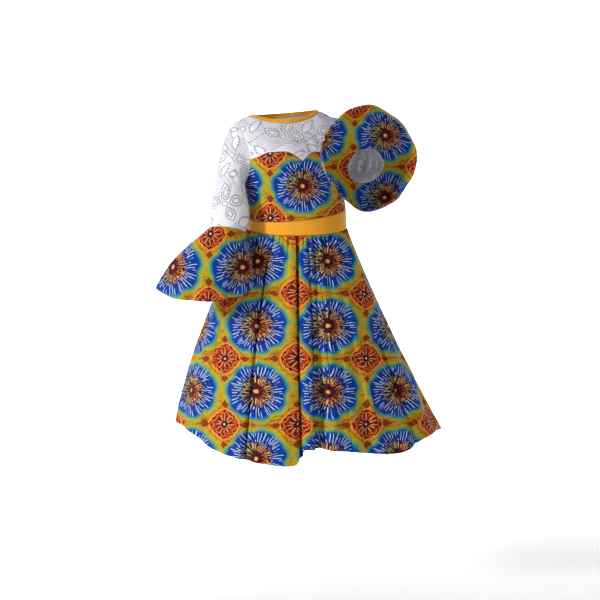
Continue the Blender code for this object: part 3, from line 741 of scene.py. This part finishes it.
def makeBand(name):
    # slubs along the band, from stretched noise, and a fine twill, from the sine of a diagonal
    look, shader, start, flat = newLook(name)
    u, v = parts(flat)
    slub = noise(joined(u * 3.0, v * 40.0), 9.0, 3.0)
    color = slub.ramp([(0.25, dye(236, 156, 26)), (0.75, dye(244, 172, 40))])
    color = color.mix(dye(204, 122, 16), noise(flat, 18.0, 3.0).fade(0.55, 0.85) * 0.35)
    seam = seamLine(start)
    # painted shade: darker orange within about 2 mm of a sewn edge, for the shadow in the seam
    color = color.mix(dye(150, 84, 14), seam.fade(0.0024, 0.0004) * 0.5)
    plug(look, shader, "Base Color", color)
    plug(look, shader, "Roughness", slub * 0.15 + 0.42)
    twill = ((u + v) * 5200.0).math("SINE")
    bumped(look, shader, twill * 0.4 + noise(flat, 300.0, 3.0) * 0.6 + slub * 1.2, 0.0003, 0.6)
    shader.inputs["Specular IOR Level"].default_value = 0.3
    return look


printLook = makePrint("wax print cotton")
laceLook = makeLace("white cotton lace")
bandLook = makeBand("yellow sateen")
print("materials ready")


bodice = {
    "rows": 56, "columns": 150, "width": 0.42, "height": 0.16,
    "printAt": (0.0553, -0.2125),                  # where a bloom's middle lies on the front
    # creases by place: x, z to x, z, depth, width, bow
    "front": (
        (-0.098, -0.268, -0.040, -0.236, 0.0034, 0.0100, 0.004),
        (-0.104, -0.240, -0.062, -0.214, 0.0028, 0.0085, 0.003),
        (0.172, -0.262, 0.108, -0.243, 0.0032, 0.0090, -0.004),
        (0.176, -0.240, 0.118, -0.214, 0.0030, 0.0085, -0.003),
        (0.178, -0.205, 0.128, -0.168, 0.0034, 0.0095, 0.003),
        (-0.010, -0.300, 0.026, -0.270, 0.0016, 0.0080, 0.002),
        (0.070, -0.282, 0.092, -0.256, 0.0015, 0.0070, 0.002),
        (-0.118, -0.190, -0.080, -0.160, 0.0026, 0.0090, 0.002),
        (-0.060, -0.292, -0.075, -0.262, 0.0018, 0.0070, 0.0015),
        (0.020, -0.214, 0.060, -0.226, 0.0012, 0.0120, 0.003)),
    "back": (
        (0.060, -0.262, 0.130, -0.240, 0.0030, 0.0095, 0.004),
        (-0.095, -0.258, -0.040, -0.232, 0.0028, 0.0090, -0.003),
        (0.070, -0.232, 0.140, -0.205, 0.0026, 0.0095, 0.003),
        (-0.100, -0.222, -0.055, -0.200, 0.0024, 0.0085, 0.002),
        (-0.020, -0.285, 0.020, -0.268, 0.0018, 0.0075, 0.002),
        (0.105, -0.275, 0.085, -0.300, 0.0016, 0.0070, 0.001)),
}
yoke = {
    "rows": 60, "columns": 150, "width": 0.42, "height": 0.16,
    "front": (
        (-0.105, -0.100, -0.070, -0.062, 0.0024, 0.0090, 0.003),
        (-0.092, -0.120, -0.060, -0.098, 0.0020, 0.0080, 0.002),
        (0.100, -0.112, 0.066, -0.076, 0.0028, 0.0095, 0.003),
        (0.118, -0.092, 0.078, -0.056, 0.0028, 0.0090, 0.002),
        (0.112, -0.064, 0.086, -0.036, 0.0022, 0.0080, 0.002),
        (-0.020, -0.070, 0.034, -0.064, 0.0012, 0.0120, -0.003)),
    "back": (
        (0.060, -0.110, 0.100, -0.060, 0.0026, 0.0100, 0.003),
        (0.045, -0.070, 0.090, -0.035, 0.0024, 0.0090, 0.002),
        (-0.080, -0.105, -0.050, -0.060, 0.0022, 0.0090, 0.002),
        (-0.030, -0.125, 0.030, -0.115, 0.0014, 0.0110, 0.002)),
}


def bodyPanel(kind, place):
    # the body's surface between two steps, from one side seam or armhole to the next
    spec = bodice if kind == "bodice" else yoke
    centre, start, end = {"front": (0, -1, 1), "back_right": (-180, 0, 1), "back_left": (180, -1, 0)}[place]
    columns = spec["columns"] * (end - start) // 2
    share = start + (end - start) * spaced(columns, spec["width"] * (end - start) / 2, True, True)
    seam = seamStep(centre + 90.0 * share)
    low, high = (0.0, seam) if kind == "bodice" else (seam, 2.0)
    step = low + (high - low) * spaced(spec["rows"], spec["height"], True, True)[:, None]
    points = bodyPoint(centre + share * sideAngle(step), step)
    anchor = int(np.argmin(np.abs(share)))
    across = acrossFlat(points, anchor, cloth["printDrift"] if place == "front" else 1.0)
    middle = points[:, anchor:anchor + 1, 0]
    u = middle + across if place == "front" else -middle + across
    if kind == "bodice":
        flat = np.stack([u - bodice["printAt"][0], points[..., 2] - bodice["printAt"][1]], axis=-1)
    else:
        flat = np.stack([u, lengthAlong(points, 0, 0) + points[:1, :, 2]], axis=-1)
    rows = spec["front"] if place == "front" else spec["back"]
    ripple = 0.0006 * softNoise(u, flat[..., 1], 0.034, 3) + 0.0003 * softNoise(u, flat[..., 1], 0.013, 4)
    lift = creases(points[..., 0], points[..., 2], rows) + ripple
    calm = np.clip(edgeDistance(points, ("start", "end", "left", "right")) / cloth["calm"], 0, 1)
    name = f"{kind}_{place}"
    wall = cloth["print"] if kind == "bodice" else cloth["lace"]
    inside = uprightLine(points, body["innerX"])
    piece = shell(name + "_cloth", points, flat, wall, ("start", "end", "left", "right"),
                  lift=lift * calm, inside=inside)
    slot, look = ("wax_print", printLook) if kind == "bodice" else ("lace", laceLook)
    declare(piece, name, slot, look, flat, points)


for place in ("front", "back_right", "back_left"):
    bodyPanel("bodice", place)
    bodyPanel("yoke", place)


bands = {
    "columns": 240, "waistRows": 14, "waistHeight": 0.045, "bulge": 0.0008,
    "neckRows": 8, "neckWidth": 0.012, "neckLean": 0.10,
}


def makeBands():
    # waistband: the waist's section between two edges; neckband: a narrow strip inwards from the neck edge
    angle = np.linspace(-180, 180, bands["columns"] + 1)[None, :]
    t = spaced(bands["waistRows"], bands["waistHeight"], True, True)[:, None]
    x, y, _ = section(angle, np.zeros_like(angle))
    sine, cosine = sinCos(angle)
    out = body["bandFlare"] * (1 - t) + bands["bulge"] * np.sin(np.pi * t)
    foot, top = edgeHeight(body["bandFoot"], angle), edgeHeight(body["bandTop"], angle)
    points = stack(x + out * sine, y - out * cosine, foot + (top - foot) * t)
    u = lengthAlong(points, 1, bands["columns"] // 2)
    flat = np.stack([u, np.broadcast_to((top - foot) * t, u.shape)], axis=-1)
    v = flat[..., 1]
    lift = 0.0005 * softNoise(u, v * 0.6, 0.030, 8) + 0.0003 * softNoise(u * 0.5, v, 0.010, 9)
    piece = shell("waistband_cloth", points, flat, cloth["band"], ("start", "end"), lift=lift)
    declare(piece, "waistband", "band", bandLook, flat, points)

    edge = bodyPoint(angle, 2.0)[0]
    inward = unit(edge - bodyPoint(angle, 1.97)[0])
    t = spaced(bands["neckRows"], bands["neckWidth"], True, False)[:, None, None]
    points = edge[None] + (inward[None] + stack(0.0, 0.0, bands["neckLean"]) * t) * bands["neckWidth"] * t
    u = lengthAlong(points, 1, bands["columns"] // 2)
    flat = np.stack([u, np.broadcast_to(t[..., 0] * bands["neckWidth"], u.shape)], axis=-1)
    lift = 0.0006 * np.sin(np.pi * np.clip(t[..., 0], 0, 1)) + 0.0003 * softNoise(u, flat[..., 1], 0.018, 10)
    piece = shell("neckband_cloth", points, flat, cloth["band"] * cloth["neckband"], ("start",), lift=lift)
    declare(piece, "neckband", "band", bandLook, flat, points)


makeBands()


sleeves = {
    "hanging": dict(side=-1, end=(-0.164, -0.098, -0.342), points=(-0.10, -0.28, -1.0), outer=(-1, 0, 0),
                    radius=0.053, leave=0.115, slant=(0.050, -0.03, 0.02), arrive=0.17, underarm=0.0140),
    "raised": dict(side=1, end=(0.232, -0.215, -0.154), points=(0.26, -0.85, -0.36), outer=(0, 0, 1),
                   radius=0.053, leave=0.13, slant=(0.02, 0.09, 0.0), arrive=0.16, underarm=0.0),
}
# creases by place on the flat sleeve: across from the shoulder line, up from the elbow seam
sleeveCreases = {
    "hanging": (
        (0.080, 0.030, 0.010, 0.052, 0.0030, 0.0090, 0.004),
        (0.100, 0.062, 0.030, 0.088, 0.0026, 0.0090, 0.004),
        (-0.090, 0.040, -0.020, 0.058, 0.0026, 0.0085, -0.003),
        (-0.110, 0.090, -0.050, 0.100, 0.0028, 0.0095, -0.003),
        (0.120, 0.110, 0.075, 0.150, 0.0034, 0.0090, 0.004),
        (-0.120, 0.130, -0.080, 0.160, 0.0030, 0.0090, 0.003),
        (0.030, 0.128, -0.020, 0.140, 0.0014, 0.0120, 0.003),
        (0.150, 0.020, 0.090, 0.012, 0.0022, 0.0070, 0.002)),
    "raised": (
        (0.090, 0.020, 0.020, 0.042, 0.0032, 0.0090, 0.004),
        (0.100, 0.055, 0.030, 0.080, 0.0034, 0.0095, 0.004),
        (-0.090, 0.030, -0.020, 0.046, 0.0030, 0.0085, -0.003),
        (-0.110, 0.075, -0.040, 0.095, 0.0034, 0.0095, -0.004),
        (0.130, 0.100, 0.060, 0.140, 0.0038, 0.0100, 0.005),
        (-0.130, 0.120, -0.070, 0.150, 0.0036, 0.0100, 0.004),
        (0.040, 0.150, -0.030, 0.165, 0.0024, 0.0100, 0.003),
        (0.010, 0.190, -0.050, 0.200, 0.0024, 0.0090, 0.003)),
}
sleeveGrid = {"rows": 70, "ringSteps": 7, "length": 0.22}


def armFrame(spec):
    # unit vectors along the end of the sleeve, outwards and forwards, square to one another
    arm = unit(np.array(spec["points"], float))
    outer = np.array(spec["outer"], float)
    outer = unit(outer - arm * (outer @ arm))
    return arm, outer, spec["side"] * np.cross(arm, outer)


def armholeSteps(fine):
    # even steps below the side seam's height and above it, three to seven
    low = np.linspace(armholeLow, sideSeam, 3 * fine + 1)
    high = np.linspace(sideSeam, armholeHigh, 7 * fine + 1)
    return np.concatenate([low, high[1:]])


def armholeRing(side, fine):
    # up the front from the underarm to the shoulder, then down the back
    steps = armholeSteps(fine)
    front = sideAngle(steps)
    angle = np.concatenate([side * front, side * (180 - front[:-1])[::-1]])
    return angle, np.concatenate([steps, steps[:-1][::-1]])


def makeSleeve(name):
    # curves from the armhole to the ring at the elbow, with a tangent given at each end
    spec = sleeves[name]
    arm, outer, front = armFrame(spec)
    coarse = bodyPoint(*armholeRing(spec["side"], 1))[:-1]
    ring = bodyPoint(*armholeRing(spec["side"], sleeveGrid["ringSteps"]))
    spread = ring - coarse.mean(axis=0)
    turn = np.arctan2(-spread[:, 1] / np.ptp(coarse[:, 1]), spread[:, 2] / np.ptp(coarse[:, 2]))
    top, forward = np.cos(turn)[:, None], np.sin(turn)[:, None]
    end = np.array(spec["end"]) + spec["radius"] * (top * outer + forward * front)
    topSlant, frontSlant, down = spec["slant"]
    away = unit(stack(spec["side"], 0.0, 0.25 * top[:, 0] - 0.15))
    leave = away * (spec["leave"] + topSlant * top - frontSlant * forward) - np.array([0.0, 0.0, down])
    t = spaced(sleeveGrid["rows"], sleeveGrid["length"], True, True)[:, None]
    points = hermite(ring, leave, end, arm * spec["arrive"], t)
    shoulder = int(np.argmax(ring[:, 2]))
    u, v = lengthAlong(points, 1, shoulder), -lengthAlong(points, 0, -1)
    flat = np.stack([u, v], axis=-1)
    lift = creases(u, v, sleeveCreases[name])
    lift = lift + 0.0008 * softNoise(u, v, 0.036, 21 + spec["side"]) + 0.0004 * softNoise(u, v, 0.014, 25)
    lift = lift + spec["underarm"] * np.exp(-((1 + top[:, 0]) / 0.5) ** 2) * np.sin(np.pi * t ** 1.5)
    calm = np.clip(edgeDistance(points, ("start", "end")) / cloth["calm"], 0, 1)
    piece = shell(f"sleeve_{name}_cloth", points, flat, cloth["lace"], ("start", "end", "left", "right"),
                  lift=lift * calm)
    declare(piece, f"sleeve_{name}", "lace", laceLook, flat, points)


flounces = {
    "hanging": dict(middle=(-0.217, -0.165, -0.502), wide=(1.0, 0.08, 0.02), deep=(0.0, 0.97, 0.28),
                    bow=0.022, printAt=(-0.1150, -0.4410), frontTurn=90.0, fluted=1.0),
    "raised": dict(middle=(0.232, -0.345, -0.126), wide=(0.97, 0.23, 0.0), deep=(0.0, -0.20, 0.98), bow=0.042,
                   printAt=(0.288, -0.063), spread=1.15, fluted=0.45),
    "hemTurn": (0, 25, 50, 75, 100, 125, 150, 180, 210, 240, 270, 300, 330, 360),
    "hemReachHanging": (0.149, 0.127, 0.117, 0.100, 0.106, 0.104, 0.121, 0.132, 0.112, 0.102, 0.105, 0.102,
                        0.127, 0.149),
    "hemReachRaised": (0.139, 0.136, 0.130, 0.131, 0.127, 0.124, 0.133, 0.156, 0.151, 0.141, 0.142, 0.130,
                       0.126, 0.139),
    # soft flutes that open towards the hem: turn, depth, half width in degrees
    "flutes": ((-160, 0.0050, 11), (-128, 0.0042, 9), (-92, 0.0056, 12), (-58, 0.0040, 9), (-24, 0.0034, 8),
               (14, 0.0034, 9), (42, 0.0030, 8), (71, 0.0040, 8),
               (104, 0.0048, 9), (133, 0.0036, 8), (163, 0.0046, 9)),
    "rows": 60, "columns": 300, "length": 0.16, "calm": 0.010,
    # the cone round the skirt that the hanging flounce stays clear of
    "rest": dict(gap=0.010, drop=0.60, shift=0.034, wide=0.250, wideBow=0.30, deep=0.200, deepBow=0.20,
                 soft=0.04),
}


def clearOfSkirt(points):
    # moved outwards from the skirt's middle line until they lie just clear of a cone round it
    rest = flounces["rest"]
    drop = np.clip((edgeHeight(body["bandFoot"], -60.0) - points[..., 2]) / rest["drop"], 0, 1)
    middleX = body["middleX"][0] + rest["shift"] * drop
    wide = rest["wide"] * drop * (1 + rest["wideBow"] * (1 - drop))
    deep = rest["deep"] * drop * (1 + rest["deepBow"] * (1 - drop))
    x, y = points[..., 0] - middleX, points[..., 1]
    wide, deep = wide + body["halfWidth"][0] + rest["gap"], deep + body["frontDepth"][0] + rest["gap"]
    far = np.hypot(x / wide, y / deep)
    wanted = 1 + rest["soft"] * np.logaddexp(0, (far - 1) / rest["soft"])
    ratio = np.where(points[..., 2] < body["bandTop"][0], wanted / far, 1.0)
    return stack(middleX + x * ratio, y * ratio, points[..., 2])


def makeFlounce(name):
    # straight lines from the throat ring to the waved hem, bowed outwards
    spec, sleeve = flounces[name], sleeves[name]
    _, outer, front = armFrame(sleeve)
    turn = np.linspace(-180, 180, flounces["columns"] + 1)
    sine, cosine = sinCos(turn)
    top, forward = cosine[:, None], sine[:, None]
    radial = top * outer + forward * front
    throat = np.array(sleeve["end"]) + sleeve["radius"] * radial
    span = np.stack([unit(np.array(spec["wide"])), unit(np.array(spec["deep"]))])
    spread = unit(radial @ span.T) @ span
    reach = flounces["hemReach" + name.title()]
    hem = np.array(spec["middle"]) + spread * smooth(turn % 360, flounces["hemTurn"], reach)[:, None]
    t = spaced(flounces["rows"], flounces["length"], True, False)[:, None, None]
    points = throat * (1 - t) + hem * t + spread * spec["bow"] * (0.7 + 0.3 * top) * 4 * t * (1 - t)
    if name == "hanging":
        points = clearOfSkirt(points)
        anchor = int(np.argmin(np.abs(turn - spec["frontTurn"])))
        across = acrossFlat(points, anchor, cloth["printDrift"])
        u = points[:, anchor:anchor + 1, 0] + evenBeyond(across, np.abs(wrap(turn - spec["frontTurn"])) < 95)
        v = -alongFlat(points, -points[..., 2], cloth["printFall"])
    else:
        centre = throat.mean(axis=0)
        x, z = points[..., 0] - centre[0], points[..., 2] - centre[2]
        far = np.hypot(x, z)
        reached = sleeve["radius"] + (far - sleeve["radius"]) * spec["spread"]
        grown = alongFlat(points, reached, cloth["printFall"])
        u, v = centre[0] + x / far * grown, centre[2] + z / far * grown
    flat = np.stack([u - spec["printAt"][0], v - spec["printAt"][1]], axis=-1)
    t2 = t[..., 0]
    flute = np.zeros_like(u)
    for at, depth, width in flounces["flutes"]:
        flute = flute - depth * np.exp(-(wrap(turn - at) / width) ** 2) * np.clip(t2, 0, 1) ** 1.2
    uneven = 1 + softNoise(turn / 50, t2, 0.3, 31)
    tuck = 0.0010 * np.sin(np.radians(turn * 19)) * np.exp(-t2 / 0.10) * uneven
    along = lengthAlong(points, 1, 0)
    ripple = 0.0007 * softNoise(along, v, 0.032, 33) + 0.0004 * softNoise(along, v, 0.012, 34)
    lift = flute * spec["fluted"] + tuck + ripple
    calm = np.clip(lengthAlong(points, 0, 0) / flounces["calm"], 0, 1)
    piece = shell(f"flounce_{name}_cloth", points, flat, cloth["print"], ("start", "left", "right"),
                  hemmed=True, lift=lift * calm)
    declare(piece, f"flounce_{name}", "wax_print", printLook, flat, points)


for name in ("hanging", "raised"):
    makeSleeve(name)
    makeFlounce(name)


skirt = {
    # round the hem: angle, reach beyond the waist, fullness of the line, height of the hem
    "round": np.array([
        (-180, 0.190, 0.20, -0.960), (-135, 0.205, 0.25, -0.945), (-90, 0.217, 0.42, -0.918),
        (-62, 0.205, 0.35, -0.924), (-42, 0.200, 0.25, -0.962), (-22, 0.200, 0.18, -0.982),
        (-1, 0.202, 0.12, -0.992), (5, 0.198, 0.10, -0.946), (25, 0.205, 0.08, -0.955),
        (50, 0.232, -0.05, -0.974), (75, 0.275, -0.14, -0.937), (90, 0.288, -0.16, -0.941),
        (135, 0.225, 0.12, -0.950), (180, 0.190, 0.20, -0.960)]).T,
    # tucks that open into folds: angle at the band and at the hem, depth there and at the hem
    "folds": np.array([
        (-170, -168, 0.0040, 0.020), (-156, -152, 0.0040, 0.008), (-141, -137, 0.0045, 0.024),
        (-127, -125, 0.0035, 0.007), (-113, -112, 0.0045, 0.018), (-97, -98, 0.0030, 0.009),
        (-78, -74, 0.0035, 0.008), (-62, -53, 0.0030, 0.005), (-48, -40, 0.0050, 0.003),
        (-36, -32, 0.0045, 0.003), (-27, -24, 0.0060, 0.014), (-13, -14, 0.0035, 0.003),
        (-2, 2, 0.0050, 0.022), (19, 12, 0.0070, 0.040), (30, 24, 0.0045, 0.006),
        (41, 36, 0.0050, 0.009), (52, 48, 0.0045, 0.006), (66, 63, 0.0040, 0.010),
        (81, 80, 0.0030, 0.008), (98, 97, 0.0035, 0.014), (112, 110, 0.0045, 0.020),
        (127, 126, 0.0035, 0.007), (142, 139, 0.0045, 0.022), (156, 153, 0.0040, 0.008),
        (170, 168, 0.0040, 0.018)]).T,
    # narrow folds that lie over themselves: angle at the band, depth, half width, from, to, lifted side
    "narrow": (
        (-27.0, 0.0130, 0.0036, 0.00, 1.12, 1), (-2.0, 0.0140, 0.0038, -0.15, 1.15, -1),
        (-62.0, 0.0100, 0.0034, 0.20, 1.00, 1), (14.5, 0.0070, 0.0034, -0.10, 1.10, 1),
        (24.0, 0.0070, 0.0036, -0.05, 0.95, 1), (46.5, 0.0062, 0.0036, 0.18, 0.95, -1),
        (66.0, 0.0052, 0.0036, 0.40, 1.12, 1), (33.0, 0.0040, 0.0032, 0.50, 1.15, 1),
        (7.0, 0.0040, 0.0032, 0.62, 1.12, -1),
        (-170.0, 0.0085, 0.0040, 0.00, 1.12, 1), (-141.0, 0.0095, 0.0038, 0.05, 1.12, -1),
        (-113.0, 0.0070, 0.0036, 0.18, 1.10, 1), (112.0, 0.0085, 0.0038, 0.04, 1.12, -1),
        (142.0, 0.0092, 0.0040, 0.08, 1.12, 1), (170.0, 0.0072, 0.0036, 0.25, 1.12, -1)),
    # gathers just under the band: angle, depth, half width in degrees, how far down
    "gathers": (
        (-175, 0.0030, 1.5, 0.16), (-166, 0.0026, 1.3, 0.11),
        (-159, 0.0034, 1.6, 0.22), (-149, 0.0028, 1.3, 0.13),
        (-138, 0.0032, 1.6, 0.18), (-131, 0.0026, 1.2, 0.10),
        (-121, 0.0034, 1.6, 0.20), (-111, 0.0028, 1.4, 0.14),
        (-103, 0.0024, 1.2, 0.09), (-94, 0.0032, 1.5, 0.17),
        (-86, 0.0026, 1.3, 0.12), (-76, 0.0030, 1.5, 0.19),
        (-67, 0.0026, 1.3, 0.12), (-55, 0.0030, 1.4, 0.15),
        (-47.7, 0.0040, 1.5, 0.24), (-34.2, 0.0038, 1.3, 0.20),
        (-26.3, 0.0036, 1.2, 0.16), (-18, 0.0020, 1.3, 0.09),
        (-8.4, 0.0034, 1.2, 0.17), (-1.6, 0.0040, 1.1, 0.25),
        (8.0, 0.0020, 1.4, 0.10), (19.2, 0.0042, 1.3, 0.28),
        (29.2, 0.0038, 1.2, 0.20), (33.2, 0.0032, 1.1, 0.15),
        (40.2, 0.0040, 1.3, 0.25), (49.8, 0.0038, 1.4, 0.21),
        (57.0, 0.0026, 1.3, 0.12), (64.4, 0.0036, 1.5, 0.24),
        (73, 0.0028, 1.4, 0.14), (82, 0.0032, 1.5, 0.18), (91, 0.0026, 1.2, 0.11), (101, 0.0034, 1.6, 0.21),
        (110, 0.0028, 1.3, 0.14), (119, 0.0030, 1.5, 0.17),
        (130, 0.0034, 1.6, 0.22), (139, 0.0026, 1.3, 0.12),
        (148, 0.0032, 1.5, 0.18), (158, 0.0028, 1.4, 0.14), (167, 0.0032, 1.5, 0.20)),
    "sharp": 1.3, "opening": 1.15, "lean": 1.7, "gatherDepth": 2.2, "gatherWidth": 0.8,
    "radius": (0.13, 0.21),                        # at the band, and what it grows by at the hem
    "rows": 130, "columnStep": 0.72, "length": 0.62, "calm": 0.006, "innerX": 0.06,
    # columns beside a narrow fold and beside a seam, in degrees; rows above the hem, as shares of the length
    "foldColumns": (-3.0, -2.2, -1.6, -1.1, -0.75, -0.48, -0.26, -0.12, 0.0,
                    0.12, 0.26, 0.48, 0.75, 1.1, 1.6, 2.2, 3.0),
    "seamColumns": (0.28, 0.64, 1.12, 1.80),
    "hemRows": (0.0, 0.006, 0.012, 0.018, 0.022, 0.0235, 0.025),
    "printAt": (0.1290, -0.6240), "slant": 1.026, "sag": 0.125,
}


def skirtRow(angle, column):
    # one column of the table round the hem, at any angle
    return smooth(wrap(angle), skirt["round"][0], skirt["round"][column])


def foldOffset(around, t):
    # a soft trough at each fold, with a crest midway to the next one
    at, tuck, depth = (np.concatenate([row[-1:], row, row[:1]]) for row in skirt["folds"][[0, 2, 3]])
    at[0], at[-1] = at[0] - 360, at[-1] + 360
    gaps = np.diff(at)
    near = np.searchsorted((at[1:] + at[:-1]) / 2, around)
    away = around - at[near]
    gap = np.where(away < 0, gaps[np.maximum(near - 1, 0)], gaps[np.minimum(near, len(gaps) - 1)])
    trough = (0.5 + 0.5 * np.cos(np.pi * np.clip(2 * np.abs(away) / gap, 0, 1))) ** skirt["sharp"]
    tucked = tuck[near] * (0.35 + 0.65 * np.minimum(t / 0.06, 1)) * np.clip(1 - t / 0.45, 0, 1)
    return trough * (tucked + depth[near] * np.maximum(t, 0) ** skirt["opening"])


def skirtPoint(around, t, folded=True):
    # out from the band by reach and fullness, less the folds; down from the band to the uneven hem
    around, t = np.broadcast_arrays(np.asarray(around, float), np.asarray(t, float))
    drift = np.interp(around, skirt["folds"][0], skirt["folds"][1] - skirt["folds"][0], period=360)
    angle = around + drift * t
    x, y, _ = section(angle, np.zeros_like(angle))
    sine, cosine = sinCos(angle)
    out = body["bandFlare"] + skirtRow(angle, 1) * (t + skirtRow(angle, 2) * t * (1 - t))
    if folded:
        out = out - foldOffset(wrap(around), t)
    foot = edgeHeight(body["bandFoot"], angle)
    return stack(x + out * sine, y - out * cosine, foot + (skirtRow(angle, 3) - foot) * t)


def skirtDetail(around, t):
    # narrow folds and gathers, as heights along the normal,
    # and how far the lip of each narrow fold leans over it
    total = np.zeros(np.broadcast(around, t).shape)
    lean = np.zeros_like(total)
    radius = skirt["radius"][0] + skirt["radius"][1] * t
    for at, depth, width, begin, end, side in skirt["narrow"]:
        # steep under the lifted lip, gentle on the other side
        away = np.radians(wrap(around - at)) * radius * side / width
        grow = np.clip((t - begin) / 0.18, 0, 1) * np.clip((end - t) / 0.12, 0, 1)
        grow = grow * grow * (3 - 2 * grow)
        lip = 0.50 * np.exp(-((away - 2.3) / 1.9) ** 2)
        total = total + depth * grow * (lip - np.exp(-(away / np.where(away > 0, 0.62, 2.2)) ** 2))
        lean = lean - side * skirt["lean"] * width * grow * np.exp(-((away - 1.3) / 0.9) ** 2)
    for at, depth, width, down in skirt["gathers"]:
        away = wrap(around - at) / (width * skirt["gatherWidth"] * (1 + 0.5 * t))
        fade = skirt["gatherDepth"] * np.clip(1 - t / down, 0, 1) ** 1.2
        ridges = 0.4 * np.exp(-((np.abs(away) - 2.0) / 0.9) ** 2)
        total = total + depth * fade * (ridges - np.exp(-away ** 2))
    return total, lean


def skirtColumns(start, end):
    # even columns, closer together beside the narrow folds, the gathers and the seams
    even = np.arange(start, end + 0.01, skirt["columnStep"])
    close = np.array(skirt["foldColumns"])
    beside = [row[0] + close for row in skirt["narrow"]]
    beside += [row[0] + close[3:14:2] for row in skirt["gathers"]]
    seam = np.array(skirt["seamColumns"])
    places = np.concatenate([even, *beside, start + seam, end - seam])
    places = np.unique(np.round(places[(places > start + 0.2) & (places < end - 0.2)], 2))
    keep = np.concatenate([[True], np.diff(places) > 0.10])
    return np.concatenate([[start], places[keep], [end]])


def makeSkirt(place, start, end):
    # the folded cone between two angles, raised by its gathers and narrow folds
    around = skirtColumns(start, end)[None, :]
    t = spaced(skirt["rows"], skirt["length"], True, False)
    t = np.unique(np.concatenate([t, 1 - np.array(skirt["hemRows"])]))[:, None]
    points = skirtPoint(around, t)
    plain = skirtPoint(around, t, folded=False)
    centre = {"front": 0.0, "back_left": 180.0, "back_right": -180.0}[place]
    anchor = int(np.argmin(np.abs(around[0] - centre)))
    across = acrossFlat(plain, anchor, cloth["printDrift"] if place == "front" else 1.0)
    middle = plain[:, anchor:anchor + 1, 0]
    u = middle + across if place == "front" else -middle + across
    behind = np.abs(plain[:, anchor:anchor + 1, 1] - plain[..., 1])
    v = plain[..., 2] * skirt["slant"] + skirt["sag"] * behind
    flat = np.stack([u - skirt["printAt"][0], v - skirt["printAt"][1]], axis=-1)
    lift, lean = skirtDetail(around, t)
    ripple = 0.0016 * softNoise(u * 1.6, v * 0.55, 0.060, 41) + 0.0007 * softNoise(u, v, 0.024, 42)
    lift = lift + (0.4 + 0.6 * t) * ripple
    calm = np.clip(edgeDistance(points, ("start", "left", "right")) / skirt["calm"], 0.35, 1)
    inside = uprightLine(points, skirt["innerX"])
    normal = gridNormals(points)
    normal = normal * np.sign((normal * (points - inside)).sum(-1).mean())
    along = unit(np.gradient(plain, axis=1))
    shaped = points + normal * (lift * calm)[..., None] + along * lean[..., None]
    piece = shell(f"skirt_{place}_cloth", shaped, flat, cloth["print"], ("start", "left", "right"),
                  hemmed=True, inside=inside)
    declare(piece, f"skirt_{place}", "wax_print", printLook, flat, points)


makeSkirt("front", -90.0, 90.0)
makeSkirt("back_left", 90.0, 180.0)
makeSkirt("back_right", -180.0, -90.0)


stage = {
    "floor": -1.44, "color": dye(250, 250, 251), "world": 0.34,
    # paper: half size, where its bend starts, the bend's radius, height
    "reach": 9.0, "bendAt": 2.5, "bend": 1.5, "height": 6.0,
    "camera": (0.048, -4.2, -0.10), "aim": (0.048, 0.0, -0.555), "lens": 84.91, "sensor": 36.0,
    # lamps: place, size, power, what they are aimed at
    "lamps": {
        "key": ((-3.4, -2.2, 0.85), 0.7, 138, (0.05, 0.0, -0.5)),
        "fill": ((1.6, -3.4, 0.5), 2.0, 22, (0.05, 0.0, -0.5)),
        "backdrop left": ((-0.9, 2.3, 1.5), 1.2, 105, (-1.5, 4.4, -0.9)),
        "backdrop right": ((0.9, 2.3, 1.5), 1.2, 105, (1.5, 4.4, -0.9)),
    },
}


def makeStage():
    # floor that curves up into a backdrop: a profile carried along X
    turn = np.linspace(0, np.pi / 2, 14)
    reach, bendAt, bend = stage["reach"], stage["bendAt"], stage["bend"]
    y = np.concatenate([[-reach], bendAt + bend * np.sin(turn), [bendAt + bend]])
    z = np.concatenate([[0.0], bend * (1 - np.cos(turn)), [stage["height"]]]) + stage["floor"]
    x = np.linspace(-reach, reach, 3)
    points = np.stack(np.broadcast_arrays(x[None, :], y[:, None], z[:, None]), axis=-1)
    index = np.arange(points[..., 0].size).reshape(points.shape[:2])
    floor = makeMesh("floor", points.reshape(-1, 3),
                     quads(index[:-1, :-1], index[:-1, 1:], index[1:, 1:], index[1:, :-1]))
    floor.data.shade_smooth()
    look = bpy.data.materials.new("studio paper")
    look.use_nodes = True
    look.node_tree.nodes["Principled BSDF"].inputs["Base Color"].default_value = stage["color"]
    look.node_tree.nodes["Principled BSDF"].inputs["Roughness"].default_value = 0.9
    floor.data.materials.append(look)
    world = bpy.data.worlds.new("studio")
    world.use_nodes = True
    world.node_tree.nodes["Background"].inputs["Color"].default_value = (1.0, 1.0, 1.0, 1.0)
    world.node_tree.nodes["Background"].inputs["Strength"].default_value = stage["world"]
    bpy.context.scene.world = world


def aimed(made, place, aim):
    # an object at one point, turned to look at another
    made.location = place
    made.rotation_euler = (Vector(aim) - Vector(place)).to_track_quat("-Z", "Y").to_euler()
    bpy.context.collection.objects.link(made)
    return made


def makeLight(name, place, size, power, aim):
    # a round lamp of the given size and power
    light = bpy.data.lights.new(name, "AREA")
    light.shape, light.size, light.energy = "DISK", size, power
    aimed(bpy.data.objects.new(name, light), place, aim)


makeStage()
for name, lamp in stage["lamps"].items():
    makeLight(name, *lamp)
bpy.context.scene.view_settings.view_transform = "Standard"
lens = bpy.data.cameras.new("camera")
lens.lens, lens.sensor_width = stage["lens"], stage["sensor"]
camera = aimed(bpy.data.objects.new("camera", lens), stage["camera"], stage["aim"])
bpy.context.scene.camera = camera
print("stage ready")
